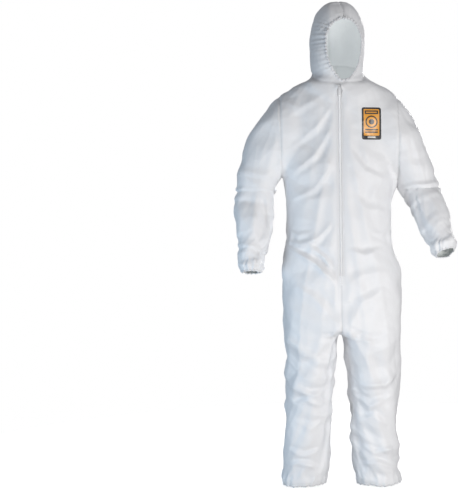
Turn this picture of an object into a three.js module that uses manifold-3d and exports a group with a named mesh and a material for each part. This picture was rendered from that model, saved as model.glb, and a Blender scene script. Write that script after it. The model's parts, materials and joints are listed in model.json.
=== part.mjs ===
// Hooded one-piece protective suit, closed up the front by a coil zip and held in the shape of a worn garment.
// Millimetres, +Z up, front towards -Y, +X on the wearer's left. Heights in the code are counted from the leg
// hems; the last line moves the origin up to the middle of the neck, where the wearer or a hanger carries the suit.
import * as THREE from 'three';
import { LoftGeometry } from 'three/addons/geometries/LoftGeometry.js';
import { mergeVertices } from 'three/addons/utils/BufferGeometryUtils.js';
import Module from 'manifold-3d';

const wasm = await Module();
wasm.setup();

// ---- driving dimensions ----------------------------------------------------------------------------------
const fabric = 2; // wall of the cloth, thicker than the real film so that it has a solid
const seamGap = 0.3; // between pieces that are sewn edge to edge
const liningGap = 0.3; // between the cloth and what is sewn or stuck onto it

const inseam = 541; // leg hem to crotch
const riseToWaist = 329; // crotch to waist elastic
const waistToArmpit = 220;
const armholeHeight = 280;
const shoulderToNeck = 70;
const hoodHeight = 260; // neck to crown

const hipWidth = 406;
const waistWidth = 378;
const chestWidth = 406;
const neckWidth = 160;
const hoodWidth = 196;
const hoodDepth = 230;
const hoodTurn = 12; // degrees, the hood looks a little towards the wearer's left

const thighWidth = 172;
const kneeWidth = 162;
const ankleWidth = 164;
const hemWidth = 150;
const kneeHeight = 320;
const legSpread = 30; // how far the ankle is outside the top of the leg

const elbowWidth = 138;
const forearmWidth = 122;
const cuffWidth = 104;
const wristOpening = 62;

const faceWidth = 128;
const faceHeight = 224;
const faceSill = 12; // cloth left between the neck seam and the face opening

const elasticWidth = 9;
const elasticThickness = 1.2;
const waistElasticWidth = 22;

const badgeWidth = 68;
const badgeHeight = 112;
const badgeThickness = 0.8;
const badgeCentre = new THREE.Vector2(108, 1268);
const neckLabelWidth = 44;
const neckLabelHeight = 56;

const zipSlotWidth = 18; // between the front edges of the two front panels
const zipBottomAboveCrotch = 164;
const tapeWidth = 20;
const tapeThickness = 0.8;
const coilInner = 0.9;
const coilOuter = 3.1;
const coilThickness = 2.8;
const stopLength = 3.7;
const sliderLength = 11;
const sliderWidth = 9.4;
const sliderBridge = 1.0;
const plateThickness = 1.3;
const runningGap = 0.35;
const bailWidth = 2.2;
const bailBar = 1.2;
const bailRise = 3.4;
const tabLength = 29;
const tabWidth = 8.4;
const tabThickness = 1.4;

// ---- heights and places worked out from them ---------------------------------------------------------------
const crotchZ = inseam;
const waistZ = crotchZ + riseToWaist;
const armpitZ = waistZ + waistToArmpit;
const armholeTopZ = armpitZ + armholeHeight;
const neckZ = armholeTopZ + shoulderToNeck;
const crownZ = neckZ + hoodHeight;
const sideSeamY = 5; // plane of the side, shoulder and leg seams
const armholeX = chestWidth / 2 + 4;
const thighSeamZ = (crotchZ + kneeHeight) / 2 - 10;
const frontLean = 0.04; // the front runs straight and leans back by this much per millimetre of height
const frontAtCrotch = -132;
const neckSlope = 0.371; // the neck seam rises towards the back
const neckNormal = new THREE.Vector3(0, -neckSlope, 1).normalize();
const neckCentre = new THREE.Vector3(0, 0, neckZ);

const vec = (x, y, z) => new THREE.Vector3(x, y, z);
const frontY = (z) => frontAtCrotch + (z - crotchZ) * frontLean;
const lerp = THREE.MathUtils.lerp;
const radians = THREE.MathUtils.degToRad;

// Each arm hangs from its armhole to the elbow, and the forearm reaches down, out and a little forwards.
function armPose(side, elbowOut, forearmLength, spread, forward, roundness) {
  const elbow = vec(side * (armholeX + elbowOut), 13, armpitZ - 45);
  const along = vec(side * Math.tan(radians(spread)), -Math.tan(radians(forward)), -1).normalize();
  return { side, elbow, along, wrist: elbow.clone().addScaledVector(along, forearmLength), roundness };
}
const arms = {
  right: armPose(-1, 96, 308, 1, 16, 0.84),
  left: armPose(1, 76, 286, 18, 32, 0.57),
};

// ---- solids and cuts ----------------------------------------------------------------------------------------
function solidOf(geometry) {
  const bare = new THREE.BufferGeometry();
  bare.setAttribute('position', geometry.getAttribute('position'));
  if (geometry.index) bare.setIndex(geometry.index);
  const merged = mergeVertices(bare, 1e-3);
  const mesh = { numProp: 3, vertProperties: merged.attributes.position.array, triVerts: merged.index.array };
  mesh.triVerts = new Uint32Array(mesh.triVerts);
  return new wasm.Manifold(new wasm.Mesh(mesh));
}

const farAway = 4000;
// Everything on the side of a plane that its normal points to, starting a little past the plane.
function beyond(point, normal, start = seamGap / 2) {
  const slab = new THREE.BoxGeometry(farAway, farAway, farAway).translate(0, 0, farAway / 2 + start);
  const turn = new THREE.Quaternion().setFromUnitVectors(vec(0, 0, 1), normal.clone().normalize());
  return solidOf(slab.applyQuaternion(turn).translate(point.x, point.y, point.z));
}
const above = (z, start) => beyond(vec(0, 0, z), vec(0, 0, 1), start);
const below = (z, start) => beyond(vec(0, 0, z), vec(0, 0, -1), start);
const inFront = (start) => beyond(vec(0, sideSeamY, 0), vec(0, -1, 0), start);
const behind = (start) => beyond(vec(0, sideSeamY, 0), vec(0, 1, 0), start);
const outside = (side, x, start) => beyond(vec(side * x, 0, 0), vec(side, 0, 0), start);
const keep = (solid, ...regions) => regions.reduce((rest, region) => rest.intersect(region), solid);

// ---- the suit's form, as lofts through rounded sections ------------------------------------------------------
const trunkSides = 20; // corners round each section, a multiple of 4 so that the front has a flat for the zip
const limbSides = 16;
// A rounded section: half sizes along u and v, squarer as the power rises above 2.
function ring(centre, u, v, halfU, halfV, power, corners) {
  const points = [];
  const flat = Math.cos(Math.PI / corners) ** (2 / power); // brings the four flats out to the half sizes
  for (let i = 0; i < corners; i++) {
    const angle = ((i + 0.5) / corners) * 2 * Math.PI;
    const c = Math.cos(angle);
    const s = Math.sin(angle);
    const alongU = (Math.sign(c) * Math.abs(c) ** (2 / power) * halfU) / flat;
    const alongV = (Math.sign(s) * Math.abs(s) ** (2 / power) * halfV) / flat;
    points.push(centre.clone().addScaledVector(u, alongU).addScaledVector(v, alongV));
  }
  return points;
}
const loft = (sections) => solidOf(new LoftGeometry(sections, { capStart: true, capEnd: true }));

// A level section given by its width and by where its front and back are.
function levelRing(z, width, front, back, inset, { x = 0, turn = 0, power = 2.3, corners = trunkSides } = {}) {
  const u = vec(Math.cos(turn), Math.sin(turn), 0);
  const v = vec(-Math.sin(turn), Math.cos(turn), 0);
  const centre = vec(x, 0, z).addScaledVector(v, (front + back) / 2);
  return ring(centre, u, v, width / 2 - inset, (back - front) / 2 - inset, power, corners);
}

function trunk(inset) {
  const level = (z, width, back, power) => levelRing(z, width, frontY(z), back, inset, { power });
  const slope = (share) => lerp(armholeTopZ, neckZ, share);
  return loft([
    level(crotchZ - 8 + inset, hipWidth - 10, 118, 2.9),
    level(crotchZ + 90, hipWidth, 128, 2.7),
    level(lerp(crotchZ, waistZ, 0.67), hipWidth, 126, 2.5),
    level(waistZ, waistWidth, 108, 2.3),
    level(waistZ + 90, waistWidth - 2, 112, 2.3),
    level(armpitZ - 25, chestWidth - 16, 124, 2.4),
    level(lerp(armpitZ, armholeTopZ, 0.45), chestWidth, 128, 2.4),
    level(lerp(armpitZ, armholeTopZ, 0.85), chestWidth + 6, 116, 2.3),
    level(armholeTopZ - inset * 0.6, chestWidth - 4, 104, 2.1),
    level(slope(0.36) - inset * 0.8, lerp(chestWidth, neckWidth, 0.3), 98, 2.0),
    level(slope(0.62) - inset * 0.8, lerp(chestWidth, neckWidth, 0.63), 90, 2.0),
    levelRing(slope(0.82), neckWidth + 26, frontY(slope(0.82)) + 3, 86, inset, { power: 2.0 }),
    levelRing(neckZ + 20, neckWidth - 4, -86, 84, inset, { power: 2.0 }),
  ]);
}

function leg(side, inset, past = 0) {
  const crotchHalf = hipWidth / 4 - 2.5;
  const level = (z, out, width, depth) => {
    const x = side * (crotchHalf + 2.5 + out);
    const middle = lerp(3, frontAtCrotch + 125, (z / inseam) ** 2);
    return levelRing(z, width, middle - depth / 2, middle + depth / 2, inset, { x, corners: limbSides });
  };
  return loft([
    level(-past, legSpread, hemWidth, 158),
    level(22, legSpread, ankleWidth, 176),
    level(inseam * 0.14, legSpread * 0.85, ankleWidth, 184),
    level(inseam * 0.26, legSpread * 0.8, ankleWidth, 184),
    level(inseam * 0.4, legSpread * 0.65, kneeWidth - 2, 184),
    level(kneeHeight, legSpread * 0.5, kneeWidth, 194),
    level(lerp(kneeHeight, inseam, 0.45), legSpread * 0.32, thighWidth, 210),
    level(inseam - 40, legSpread * 0.1, crotchHalf * 2 - 14, 224),
    level(inseam, 0, crotchHalf * 2 - 4, 226),
    level(inseam + 45, -4, crotchHalf * 2 - 30, 196),
  ]);
}

// A sleeve leaves the armhole sideways and turns down to the elbow, its sections fanned between a line over the
// shoulder and a line under the arm, and then follows the forearm to the cuff.
function sleeve({ side, elbow, along, wrist, roundness }, inset, past = 0) {
  const start = armholeX - 16;
  const over = new THREE.QuadraticBezierCurve3(
    vec(side * start, 5, armholeTopZ + 2),
    vec(side * lerp(start, Math.abs(elbow.x) + elbowWidth / 2, roundness), 5, lerp(armholeTopZ, elbow.z, 0.25)),
    elbow.clone().add(vec((side * elbowWidth) / 2, 0, 0)));
  const under = new THREE.QuadraticBezierCurve3(
    vec(side * start, 5, armpitZ + 6),
    vec(side * lerp(start, Math.abs(elbow.x) - elbowWidth / 2, 0.5), 5, armpitZ + 2),
    elbow.clone().add(vec((-side * elbowWidth) / 2, 0, 0)));
  const root = vec(side * (chestWidth * 0.28 - inset * 4), 5, (armpitZ + armholeTopZ) / 2); // inside the chest
  const rootHalf = armholeHeight / 2 - 6 - inset;
  const sections = [ring(root, vec(0, 0, side), vec(0, -1, 0), rootHalf, 88 - inset, 2.1, limbSides)];
  for (const share of [0, 0.2, 0.4, 0.6, 0.8, 1]) {
    const high = over.getPoint(share);
    const low = under.getPoint(share);
    const u = high.clone().sub(low).normalize().multiplyScalar(side);
    const centre = high.clone().add(low).multiplyScalar(0.5);
    const halfWidth = high.distanceTo(low) / 2 - inset;
    sections.push(ring(centre, u, vec(0, -1, 0), halfWidth, lerp(93, 68, share) - inset, 2.1, limbSides));
  }
  const across = (back, direction, halfWidth, halfDepth) => {
    const v = vec(0, -1, 0).addScaledVector(direction, direction.y).normalize();
    const u = v.clone().cross(direction).normalize();
    const centre = wrist.clone().addScaledVector(along, -back);
    sections.push(ring(centre, u, v, halfWidth - inset, halfDepth - inset, 2.1, limbSides));
  };
  const forearm = elbow.distanceTo(wrist);
  across(forearm * 0.85, along.clone().add(vec(0, 0, -1)).normalize(), elbowWidth / 2 - 1, 66);
  across(forearm * 0.6, along, elbowWidth / 2 - 3, 64);
  across(forearm * 0.33, along, forearmWidth / 2 - 4, 56);
  across(44, along, cuffWidth / 2, 50);
  across(20, along, cuffWidth / 2 - 3, 48);
  across(6, along, wristOpening / 2 + 9, 38);
  across(-past, along, wristOpening / 2, wristOpening / 2);
  return loft(sections);
}

function hood(inset) {
  const level = (share, width, front, back, turned) =>
    levelRing(lerp(neckZ, crownZ, share), hoodWidth * width, hoodDepth * front, hoodDepth * back, inset,
      { turn: radians(hoodTurn * turned), power: 2.15 });
  const top = crownZ - inset;
  return loft([
    levelRing(neckZ - 14, neckWidth - 2, -90, 84, inset, { power: 2.1 }),
    level(0.05, 0.94, -0.425, 0.44, 0.1),
    level(0.15, 0.99, -0.45, 0.49, 0.4),
    level(0.35, 1.0, -0.47, 0.53, 0.8),
    level(0.54, 0.98, -0.47, 0.54, 1),
    level(0.71, 0.88, -0.435, 0.505, 1),
    level(0.845, 0.72, -0.365, 0.43, 1),
    level(0.94, 0.5, -0.26, 0.32, 1),
    levelRing(top - 1, hoodWidth * 0.22 + inset, -26, 38, inset, { turn: radians(hoodTurn), power: 2 }),
  ]);
}

// The whole suit as one closed form, moved in from its outer skin by the inset. The limbs of an inner form run
// on past their ends, so that it opens the cuffs and the leg hems.
function form(inset) {
  const past = inset > 0 ? 12 : 0;
  return [leg(-1, inset, past), leg(1, inset, past), sleeve(arms.left, inset, past), sleeve(arms.right, inset, past),
    hood(inset)].reduce((whole, part) => whole.add(part), trunk(inset));
}
const layer = (from, to) => form(from).subtract(form(to));

// ---- the face opening ------------------------------------------------------------------------------------------
const chinY = frontAtCrotch + (neckZ - crotchZ) * frontLean + 4;
const faceBottomZ = neckZ + chinY * neckSlope + faceSill;
// An egg shape, widest above its middle, swept forwards from inside the head and grown outwards by a margin.
function faceOpening(margin) {
  const wide = faceWidth / 2 + margin;
  const bottom = -margin;
  const top = faceHeight + margin;
  const widest = faceHeight * 0.6;
  const egg = new THREE.Shape();
  egg.moveTo(-faceWidth * 0.1, bottom);
  egg.lineTo(faceWidth * 0.1, bottom);
  egg.bezierCurveTo(wide * 0.75, faceHeight * 0.14, wide, widest * 0.62, wide, widest);
  egg.bezierCurveTo(wide, lerp(widest, top, 0.6), wide * 0.6, top, 0, top);
  egg.bezierCurveTo(-wide * 0.6, top, -wide, lerp(widest, top, 0.6), -wide, widest);
  egg.bezierCurveTo(-wide, widest * 0.62, -wide * 0.75, faceHeight * 0.14, -faceWidth * 0.1, bottom);
  const tunnel = new THREE.ExtrudeGeometry(egg, { depth: 300, bevelEnabled: false, curveSegments: 6 });
  tunnel.rotateX(Math.PI / 2).rotateZ(radians(hoodTurn));
  return solidOf(tunnel.translate(0, 0, faceBottomZ));
}

// ---- materials and nodes ---------------------------------------------------------------------------------------
const cloth = new THREE.MeshStandardMaterial({ color: 0xe9ebef, roughness: 0.62, metalness: 0, side: THREE.DoubleSide });
const elasticBand = new THREE.MeshStandardMaterial({ color: 0xf2f2ee, roughness: 0.8, metalness: 0 });
const zipTape = new THREE.MeshStandardMaterial({ color: 0xeeeef0, roughness: 0.75, metalness: 0 });
const zipPlastic = new THREE.MeshStandardMaterial({ color: 0xf4f4f4, roughness: 0.35, metalness: 0 });
const badgeFilm = new THREE.MeshStandardMaterial({ color: 0xf29a1f, roughness: 0.45, metalness: 0 });
const labelSatin = new THREE.MeshStandardMaterial({ color: 0xf6f6f6, roughness: 0.5, metalness: 0 });

const suit = new THREE.Group();
function addMesh(name, geometry, material, parent = suit) {
  const mesh = new THREE.Mesh(geometry, material);
  mesh.name = name;
  parent.add(mesh);
  return mesh;
}
// A cut solid as a node. Slivers that a cut leaves behind are dropped, and the largest body is the piece.
function addSolid(name, solid, material) {
  const body = solid.decompose().sort((a, b) => b.volume() - a.volume())[0];
  const { vertProperties, triVerts, numProp } = body.getMesh();
  const position = new Float32Array((vertProperties.length / numProp) * 3);
  for (let i = 0; i < position.length / 3; i++) position.set(vertProperties.subarray(i * numProp, i * numProp + 3), i * 3);
  const geometry = new THREE.BufferGeometry();
  geometry.setAttribute('position', new THREE.BufferAttribute(position, 3));
  geometry.setIndex(new THREE.BufferAttribute(new Uint32Array(triVerts), 1));
  geometry.computeVertexNormals();
  return addMesh(name, geometry, material);
}

// ---- cloth panels ------------------------------------------------------------------------------------------------
const skin = layer(0, fabric).subtract(faceOpening(0));
const clothBelowNeck = keep(skin, beyond(neckCentre, neckNormal.clone().negate()));
const sleeveFloorZ = waistZ - 180; // the hips stay inside the armhole plane above this height
const armRegion = (side, start) => keep(outside(side, armholeX, start), above(sleeveFloorZ, start));
const sides = { left: 1, right: -1 };

const trunkCloth = clothBelowNeck.subtract(armRegion(1, -seamGap / 2)).subtract(armRegion(-1, -seamGap / 2));
const zipBottomZ = crotchZ + zipBottomAboveCrotch;
const zipSlot = solidOf(new THREE.BoxGeometry(zipSlotWidth, 200, farAway)
  .translate(0, -100, zipBottomZ + farAway / 2));
for (const [side, sign] of Object.entries(sides)) {
  const half = keep(trunkCloth, above(crotchZ), outside(sign, 0));
  addSolid(`front_${side}_panel`, keep(half, inFront()).subtract(zipSlot), cloth);
  addSolid(`back_${side}_panel`, keep(half, behind()), cloth);
  const legCloth = keep(trunkCloth, below(crotchZ), outside(sign, 0));
  const thigh = keep(legCloth, above(thighSeamZ));
  const shin = keep(legCloth, below(thighSeamZ));
  addSolid(`${side}_thigh_front`, keep(thigh, inFront()), cloth);
  addSolid(`${side}_thigh_back`, keep(thigh, behind()), cloth);
  addSolid(`${side}_shin_front`, keep(shin, inFront()), cloth);
  addSolid(`${side}_shin_back`, keep(shin, behind()), cloth);
}

// Each sleeve is one cloth tube that bends at the elbow, where its two nodes meet.
for (const [side, arm] of Object.entries(arms)) {
  const tube = keep(clothBelowNeck, armRegion(arm.side, seamGap / 2));
  const bendLine = arm.elbow.clone().add(vec(0, 0, -6));
  addSolid(`${side}_sleeve_upper`, keep(tube, beyond(bendLine, vec(0, 0, 1))), cloth);
  addSolid(`${side}_sleeve_lower`, keep(tube, beyond(bendLine, vec(0, 0, -1))), cloth);
}

const hoodCloth = keep(skin, beyond(neckCentre, neckNormal));
for (const [side, sign] of Object.entries(sides)) {
  const turned = vec(sign * Math.cos(radians(hoodTurn)), sign * Math.sin(radians(hoodTurn)), 0);
  addSolid(`hood_${side}_panel`, keep(hoodCloth, beyond(vec(0, 0, 0), turned)), cloth);
}

// ---- elastics, badge and label --------------------------------------------------------------------------------------
const liningAt = fabric + liningGap;
const elasticLayer = layer(liningAt, liningAt + elasticThickness);
addSolid('face_elastic', keep(elasticLayer, faceOpening(2 + elasticWidth), beyond(neckCentre, neckNormal, 2))
  .subtract(faceOpening(2)), elasticBand);
addSolid('waist_elastic', keep(elasticLayer, behind(4), above(waistZ - waistElasticWidth / 2, 0),
  below(waistZ + waistElasticWidth / 2, 0)), elasticBand);
for (const [side, arm] of Object.entries(arms)) {
  const band = keep(elasticLayer, armRegion(arm.side, seamGap / 2), beyond(arm.wrist, arm.along.clone().negate(), 2),
    beyond(arm.wrist, arm.along, -2 - elasticWidth));
  addSolid(`${side}_wrist_elastic`, band, elasticBand);
  const ankle = keep(elasticLayer, above(2, 0), below(2 + elasticWidth, 0), outside(arm.side, 0));
  addSolid(`${side}_ankle_elastic`, ankle, elasticBand);
}

// A tile with round corners, standing in the front plane and reaching through the cloth.
function uprightTile(width, height, corner, centreX, centreZ, fromY, toY) {
  const tile = new THREE.Shape();
  const x = width / 2;
  const z = height / 2;
  tile.moveTo(-x + corner, -z).lineTo(x - corner, -z);
  tile.absarc(x - corner, -z + corner, corner, -Math.PI / 2, 0, false);
  tile.absarc(x - corner, z - corner, corner, 0, Math.PI / 2, false);
  tile.absarc(-x + corner, z - corner, corner, Math.PI / 2, Math.PI, false);
  tile.absarc(-x + corner, -z + corner, corner, Math.PI, Math.PI * 1.5, false);
  const block = new THREE.ExtrudeGeometry(tile, { depth: toY - fromY, bevelEnabled: false, curveSegments: 4 });
  return solidOf(block.rotateX(Math.PI / 2).translate(centreX, toY, centreZ));
}
addSolid('chest_badge', keep(layer(-liningGap - badgeThickness, -liningGap),
  uprightTile(badgeWidth, badgeHeight, 6, badgeCentre.x, badgeCentre.y, -200, 0)), badgeFilm);
addSolid('neck_label', keep(layer(liningAt, liningAt + badgeThickness),
  uprightTile(neckLabelWidth, neckLabelHeight, 2, 0, neckZ - 45, 0, 200), behind(4),
  beyond(neckCentre, neckNormal.clone().negate(), 1)), labelSatin);

// ---- the zip: its own frame stands on the front line, x across, y into the suit, z up the track ------------------------
const zipTopZ = neckZ + neckSlope * frontY(neckZ) - 4;
const zip = new THREE.Group();
zip.position.set(0, frontY(zipBottomZ), zipBottomZ);
zip.rotation.x = -Math.atan(frontLean);
suit.add(zip);
const trackLength = (zipTopZ - zipBottomZ) * Math.hypot(1, frontLean);

function bar(x0, x1, y0, y1, z0, z1) {
  return new THREE.BoxGeometry(x1 - x0, y1 - y0, z1 - z0).translate((x0 + x1) / 2, (y0 + y1) / 2, (z0 + z1) / 2);
}
const joined = (...boxes) => boxes.map(solidOf).reduce((whole, part) => whole.add(part));

const tapeFront = fabric + liningGap;
const tapeBack = tapeFront + tapeThickness;
const coilBack = tapeBack + 0.5;
const coilFront = coilBack - coilThickness;
const coilBottom = stopLength * 2 + seamGap;
const coilTop = trackLength - stopLength - 2 - seamGap;
for (const [side, sign] of Object.entries(sides)) {
  const mirrored = (x0, x1, ...rest) => (sign > 0 ? bar(x0, x1, ...rest) : bar(-x1, -x0, ...rest));
  const tapeEdge = coilOuter + seamGap; // the tape lies along the inside of its front panel
  const tapeStrip = solidOf(mirrored(tapeEdge, tapeEdge + tapeWidth, -200, 0, zipBottomZ, zipTopZ));
  addSolid(`zip_tape_${side}`, keep(layer(liningAt, liningAt + tapeThickness), tapeStrip), zipTape);
  addMesh(`zip_coil_${side}`, mirrored(coilInner, coilOuter, coilFront, coilBack, coilBottom, coilTop), zipPlastic, zip);
  addMesh(`zip_top_stop_${side}`, mirrored(coilInner, coilOuter, coilFront - 0.2, coilBack,
    coilTop + seamGap, coilTop + seamGap + stopLength), zipPlastic, zip);
}
addMesh('zip_bottom_stop', bar(-coilOuter, coilOuter, coilFront - 0.2, coilBack, stopLength, stopLength * 2),
  zipPlastic, zip);

// The slider's two plates hold the coils between them and are joined by a bridge that runs between the coils.
const plateBack = coilFront - runningGap;
const plateFront = plateBack - plateThickness;
const underFront = coilBack + runningGap;
const half = sliderWidth / 2;
const sliderTop = coilTop - 1;
const sliderBottom = sliderTop - sliderLength;
const flange = coilOuter + runningGap + 0.1;
const bailMiddle = sliderBottom + sliderLength * 0.55;
const bailReach = plateFront - bailRise;
const bailHalf = 3.4;
const sliderParts = [
  bar(-half, half, plateFront, plateBack, sliderBottom, sliderTop),
  bar(-half, half, underFront, underFront + plateThickness, sliderBottom, sliderTop),
  bar(-sliderBridge / 2, sliderBridge / 2, plateFront, underFront + 0.1, sliderTop - 4, sliderTop),
  bar(-half, -flange, plateFront, tapeFront - runningGap, sliderBottom, sliderTop),
  bar(flange, half, plateFront, tapeFront - runningGap, sliderBottom, sliderTop),
  bar(-bailWidth / 2, bailWidth / 2, bailReach, plateFront + 0.1, bailMiddle - bailHalf, bailMiddle - bailHalf + bailBar),
  bar(-bailWidth / 2, bailWidth / 2, bailReach, plateFront + 0.1, bailMiddle + bailHalf - bailBar, bailMiddle + bailHalf),
  bar(-bailWidth / 2, bailWidth / 2, bailReach, bailReach + bailBar, bailMiddle - bailHalf, bailMiddle + bailHalf),
];
addSolid('zip_slider', joined(...sliderParts), zipPlastic);
zip.add(suit.children[suit.children.length - 1]);

// The tab hangs from a cross bar that passes under the slider's bail.
const pivotY = (bailReach + bailBar + plateFront) / 2;
const pivotZ = bailMiddle - bailHalf + bailBar + 0.9;
const eyeHalf = bailWidth / 2 + 0.8;
const tabTopZ = pivotZ + 0.5;
const tabY0 = pivotY - tabThickness / 2 + 0.15;
const tabY1 = pivotY + tabThickness / 2 - 0.15;
const eyeLow = pivotZ - 6.2; // the window is long enough to swing up past the top of the bail
const tabParts = [
  bar(-eyeHalf, eyeHalf, pivotY - 0.45, pivotY + 0.45, pivotZ - 0.45, tabTopZ),
  bar(-tabWidth / 2, -eyeHalf + 0.1, tabY0, tabY1, tabTopZ - tabLength, tabTopZ),
  bar(eyeHalf - 0.1, tabWidth / 2, tabY0, tabY1, tabTopZ - tabLength, tabTopZ),
  bar(-tabWidth / 2, tabWidth / 2, tabY0, tabY1, tabTopZ - tabLength, eyeLow),
];
addSolid('zip_pull_tab', joined(...tabParts), zipPlastic);
zip.add(suit.children[suit.children.length - 1]);

suit.position.z = -neckZ;
export default suit;
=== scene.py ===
"""Hooded protective coverall in white laminate, in the shape of a worn garment.

The cloth is grown here as one form of rounded sections, divided along its seams, hung by a cloth simulation over
a hidden stand, and then cut into its panels. Metres, +Z up, front towards -Y, +X on the wearer's left, origin at
the middle of the neck.
"""
import json
import math

import bmesh
import bpy
import numpy as np
from mathutils import Matrix, Vector
from mathutils.bvhtree import BVHTree


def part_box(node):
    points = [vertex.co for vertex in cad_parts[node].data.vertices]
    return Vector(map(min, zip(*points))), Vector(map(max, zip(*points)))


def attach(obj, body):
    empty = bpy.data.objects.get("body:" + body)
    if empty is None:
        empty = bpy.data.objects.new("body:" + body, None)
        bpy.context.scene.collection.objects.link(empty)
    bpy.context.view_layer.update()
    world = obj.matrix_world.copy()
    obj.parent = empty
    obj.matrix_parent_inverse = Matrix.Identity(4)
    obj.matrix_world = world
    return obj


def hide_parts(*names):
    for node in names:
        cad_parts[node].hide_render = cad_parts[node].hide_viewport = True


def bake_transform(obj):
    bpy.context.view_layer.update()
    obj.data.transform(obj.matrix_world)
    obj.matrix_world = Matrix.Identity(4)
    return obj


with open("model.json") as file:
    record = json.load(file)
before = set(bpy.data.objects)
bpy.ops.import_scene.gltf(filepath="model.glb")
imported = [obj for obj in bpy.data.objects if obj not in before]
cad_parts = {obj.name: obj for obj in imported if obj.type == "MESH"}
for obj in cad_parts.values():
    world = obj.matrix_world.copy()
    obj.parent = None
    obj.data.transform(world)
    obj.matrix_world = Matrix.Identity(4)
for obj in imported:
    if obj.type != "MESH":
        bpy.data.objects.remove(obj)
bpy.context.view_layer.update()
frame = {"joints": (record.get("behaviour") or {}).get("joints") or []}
scene = bpy.context.scene


# ---------------------------------------------------------------------------------------------------------------
# Places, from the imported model
# ---------------------------------------------------------------------------------------------------------------
def low(node):
    return Vector(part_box(node)[0])


def high(node):
    return Vector(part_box(node)[1])


def joint(name):
    return next(j for j in frame["joints"] if j["name"] == name)


HEM_Z = low("left_shin_front").z
SPLIT_Z = (high("left_shin_front").z + low("left_thigh_front").z) / 2
CROTCH_Z = (high("left_thigh_front").z + low("front_left_panel").z) / 2
WAIST_Z = (low("waist_elastic").z + high("waist_elastic").z) / 2
CROWN_Z = high("hood_left_panel").z
ARMHOLE_X = low("left_sleeve_upper").x
SLEEVE_LOW_Z = WAIST_Z - 0.18
CLOTH_THICK, TAPE_THICK, BADGE_THICK, BAND_THICK = 0.0005, 0.0005, 0.0004, 0.0012
KNEE_Z = joint("left_knee")["pos_m"][2]
ZIP_LOW = low("zip_tape_left").z
ZIP_TOP = high("zip_tape_left").z
ARMPIT_Z = WAIST_Z + 0.22
SHOULDER_Z = ARMPIT_Z + 0.28
SIDE_Y = 0.005
ZIP_HALF = 0.009
HOOD_TURN = math.radians(12)
NECK_NORMAL = Vector((0, -0.371, 1)).normalized()
ELBOW = {s: np.array(joint(f"{n}_elbow")["pos_m"]) + (0, 0, 0.006) for s, n in ((1, "left"), (-1, "right"))}
FOREARM = {
    1: (0.286, math.radians(18), math.radians(32)),
    -1: (0.308, math.radians(1), math.radians(16)),
}
ROUNDNESS = {1: 0.57, -1: 0.84}
SIDES = {"left": 1, "right": -1}


def lerp(a, b, t):
    return a + (b - a) * t


def smoothstep(x, a, b):
    t = np.clip((x - a) / (b - a), 0, 1)
    return t * t * (3 - 2 * t)


def bump(x, centre, width):
    return np.exp(-(((x - centre) / width) ** 2))


def in_sleeves(p):
    return (np.abs(p[:, 0]) > ARMHOLE_X) & (p[:, 2] > SLEEVE_LOW_Z)


def in_sleeve(p, side):
    return (p[:, 0] * side > ARMHOLE_X) & (p[:, 2] > SLEEVE_LOW_Z)


def beside_zip(p):
    return (p[:, 1] < -0.05) & (p @ NECK < 0) & (p[:, 2] > ZIP_LOW - 0.01)


def along_arm(side):
    _, spread, forward = FOREARM[side]
    d = np.array([side * math.tan(spread), -math.tan(forward), -1.0])
    return d / np.linalg.norm(d)


def wrist(side):
    return ELBOW[side] + along_arm(side) * FOREARM[side][0]


def front_y(z):
    return -0.132 + (z - CROTCH_Z) * 0.04


# ---------------------------------------------------------------------------------------------------------------
# The form, as lofts through rounded sections
# ---------------------------------------------------------------------------------------------------------------
AROUND = 72


def ring(centre, u, v, half_u, half_v, power):
    a = (np.arange(AROUND) + 0.5) / AROUND * 2 * np.pi
    c, s = np.cos(a), np.sin(a)
    along_u = np.sign(c) * np.abs(c) ** (2 / power) * half_u
    along_v = np.sign(s) * np.abs(s) ** (2 / power) * half_v
    return np.asarray(centre) + np.outer(along_u, u) + np.outer(along_v, v)


def level_ring(z, width, front, back, inset, x=0.0, turn=0.0, power=2.3):
    u = np.array([math.cos(turn), math.sin(turn), 0])
    v = np.array([-math.sin(turn), math.cos(turn), 0])
    centre = np.array([x, 0, z]) + v * (front + back) / 2
    return ring(centre, u, v, width / 2 - inset, (back - front) / 2 - inset, power)


def skin(bm, rings, capped=True):
    """Faces between rings of points, closed at both ends if they are capped, in the rings' own order."""
    for a, b in zip(rings, rings[1:]):
        for i in range(len(a)):
            j = (i + 1) % len(a)
            bm.faces.new((a[i], a[j], b[j], b[i]))
    if capped:
        bm.faces.new(rings[0][::-1])
        bm.faces.new(rings[-1])


def loft(sections, steps=6):
    """A closed form through the sections, eased between them."""
    rows = []
    for i in range(len(sections) - 1):
        before, here, there, after = (sections[min(max(k, 0), len(sections) - 1)] for k in range(i - 1, i + 3))
        for k in range(steps):
            t = k / steps
            rows.append(0.5 * (2 * here + (there - before) * t + (2 * before - 5 * here + 4 * there - after) * t**2
                               + (3 * here - before - 3 * there + after) * t**3))
    rows.append(sections[-1])
    bm = bmesh.new()
    skin(bm, [[bm.verts.new(p) for p in row] for row in rows])
    bmesh.ops.recalc_face_normals(bm, faces=bm.faces)
    return bm


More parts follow.
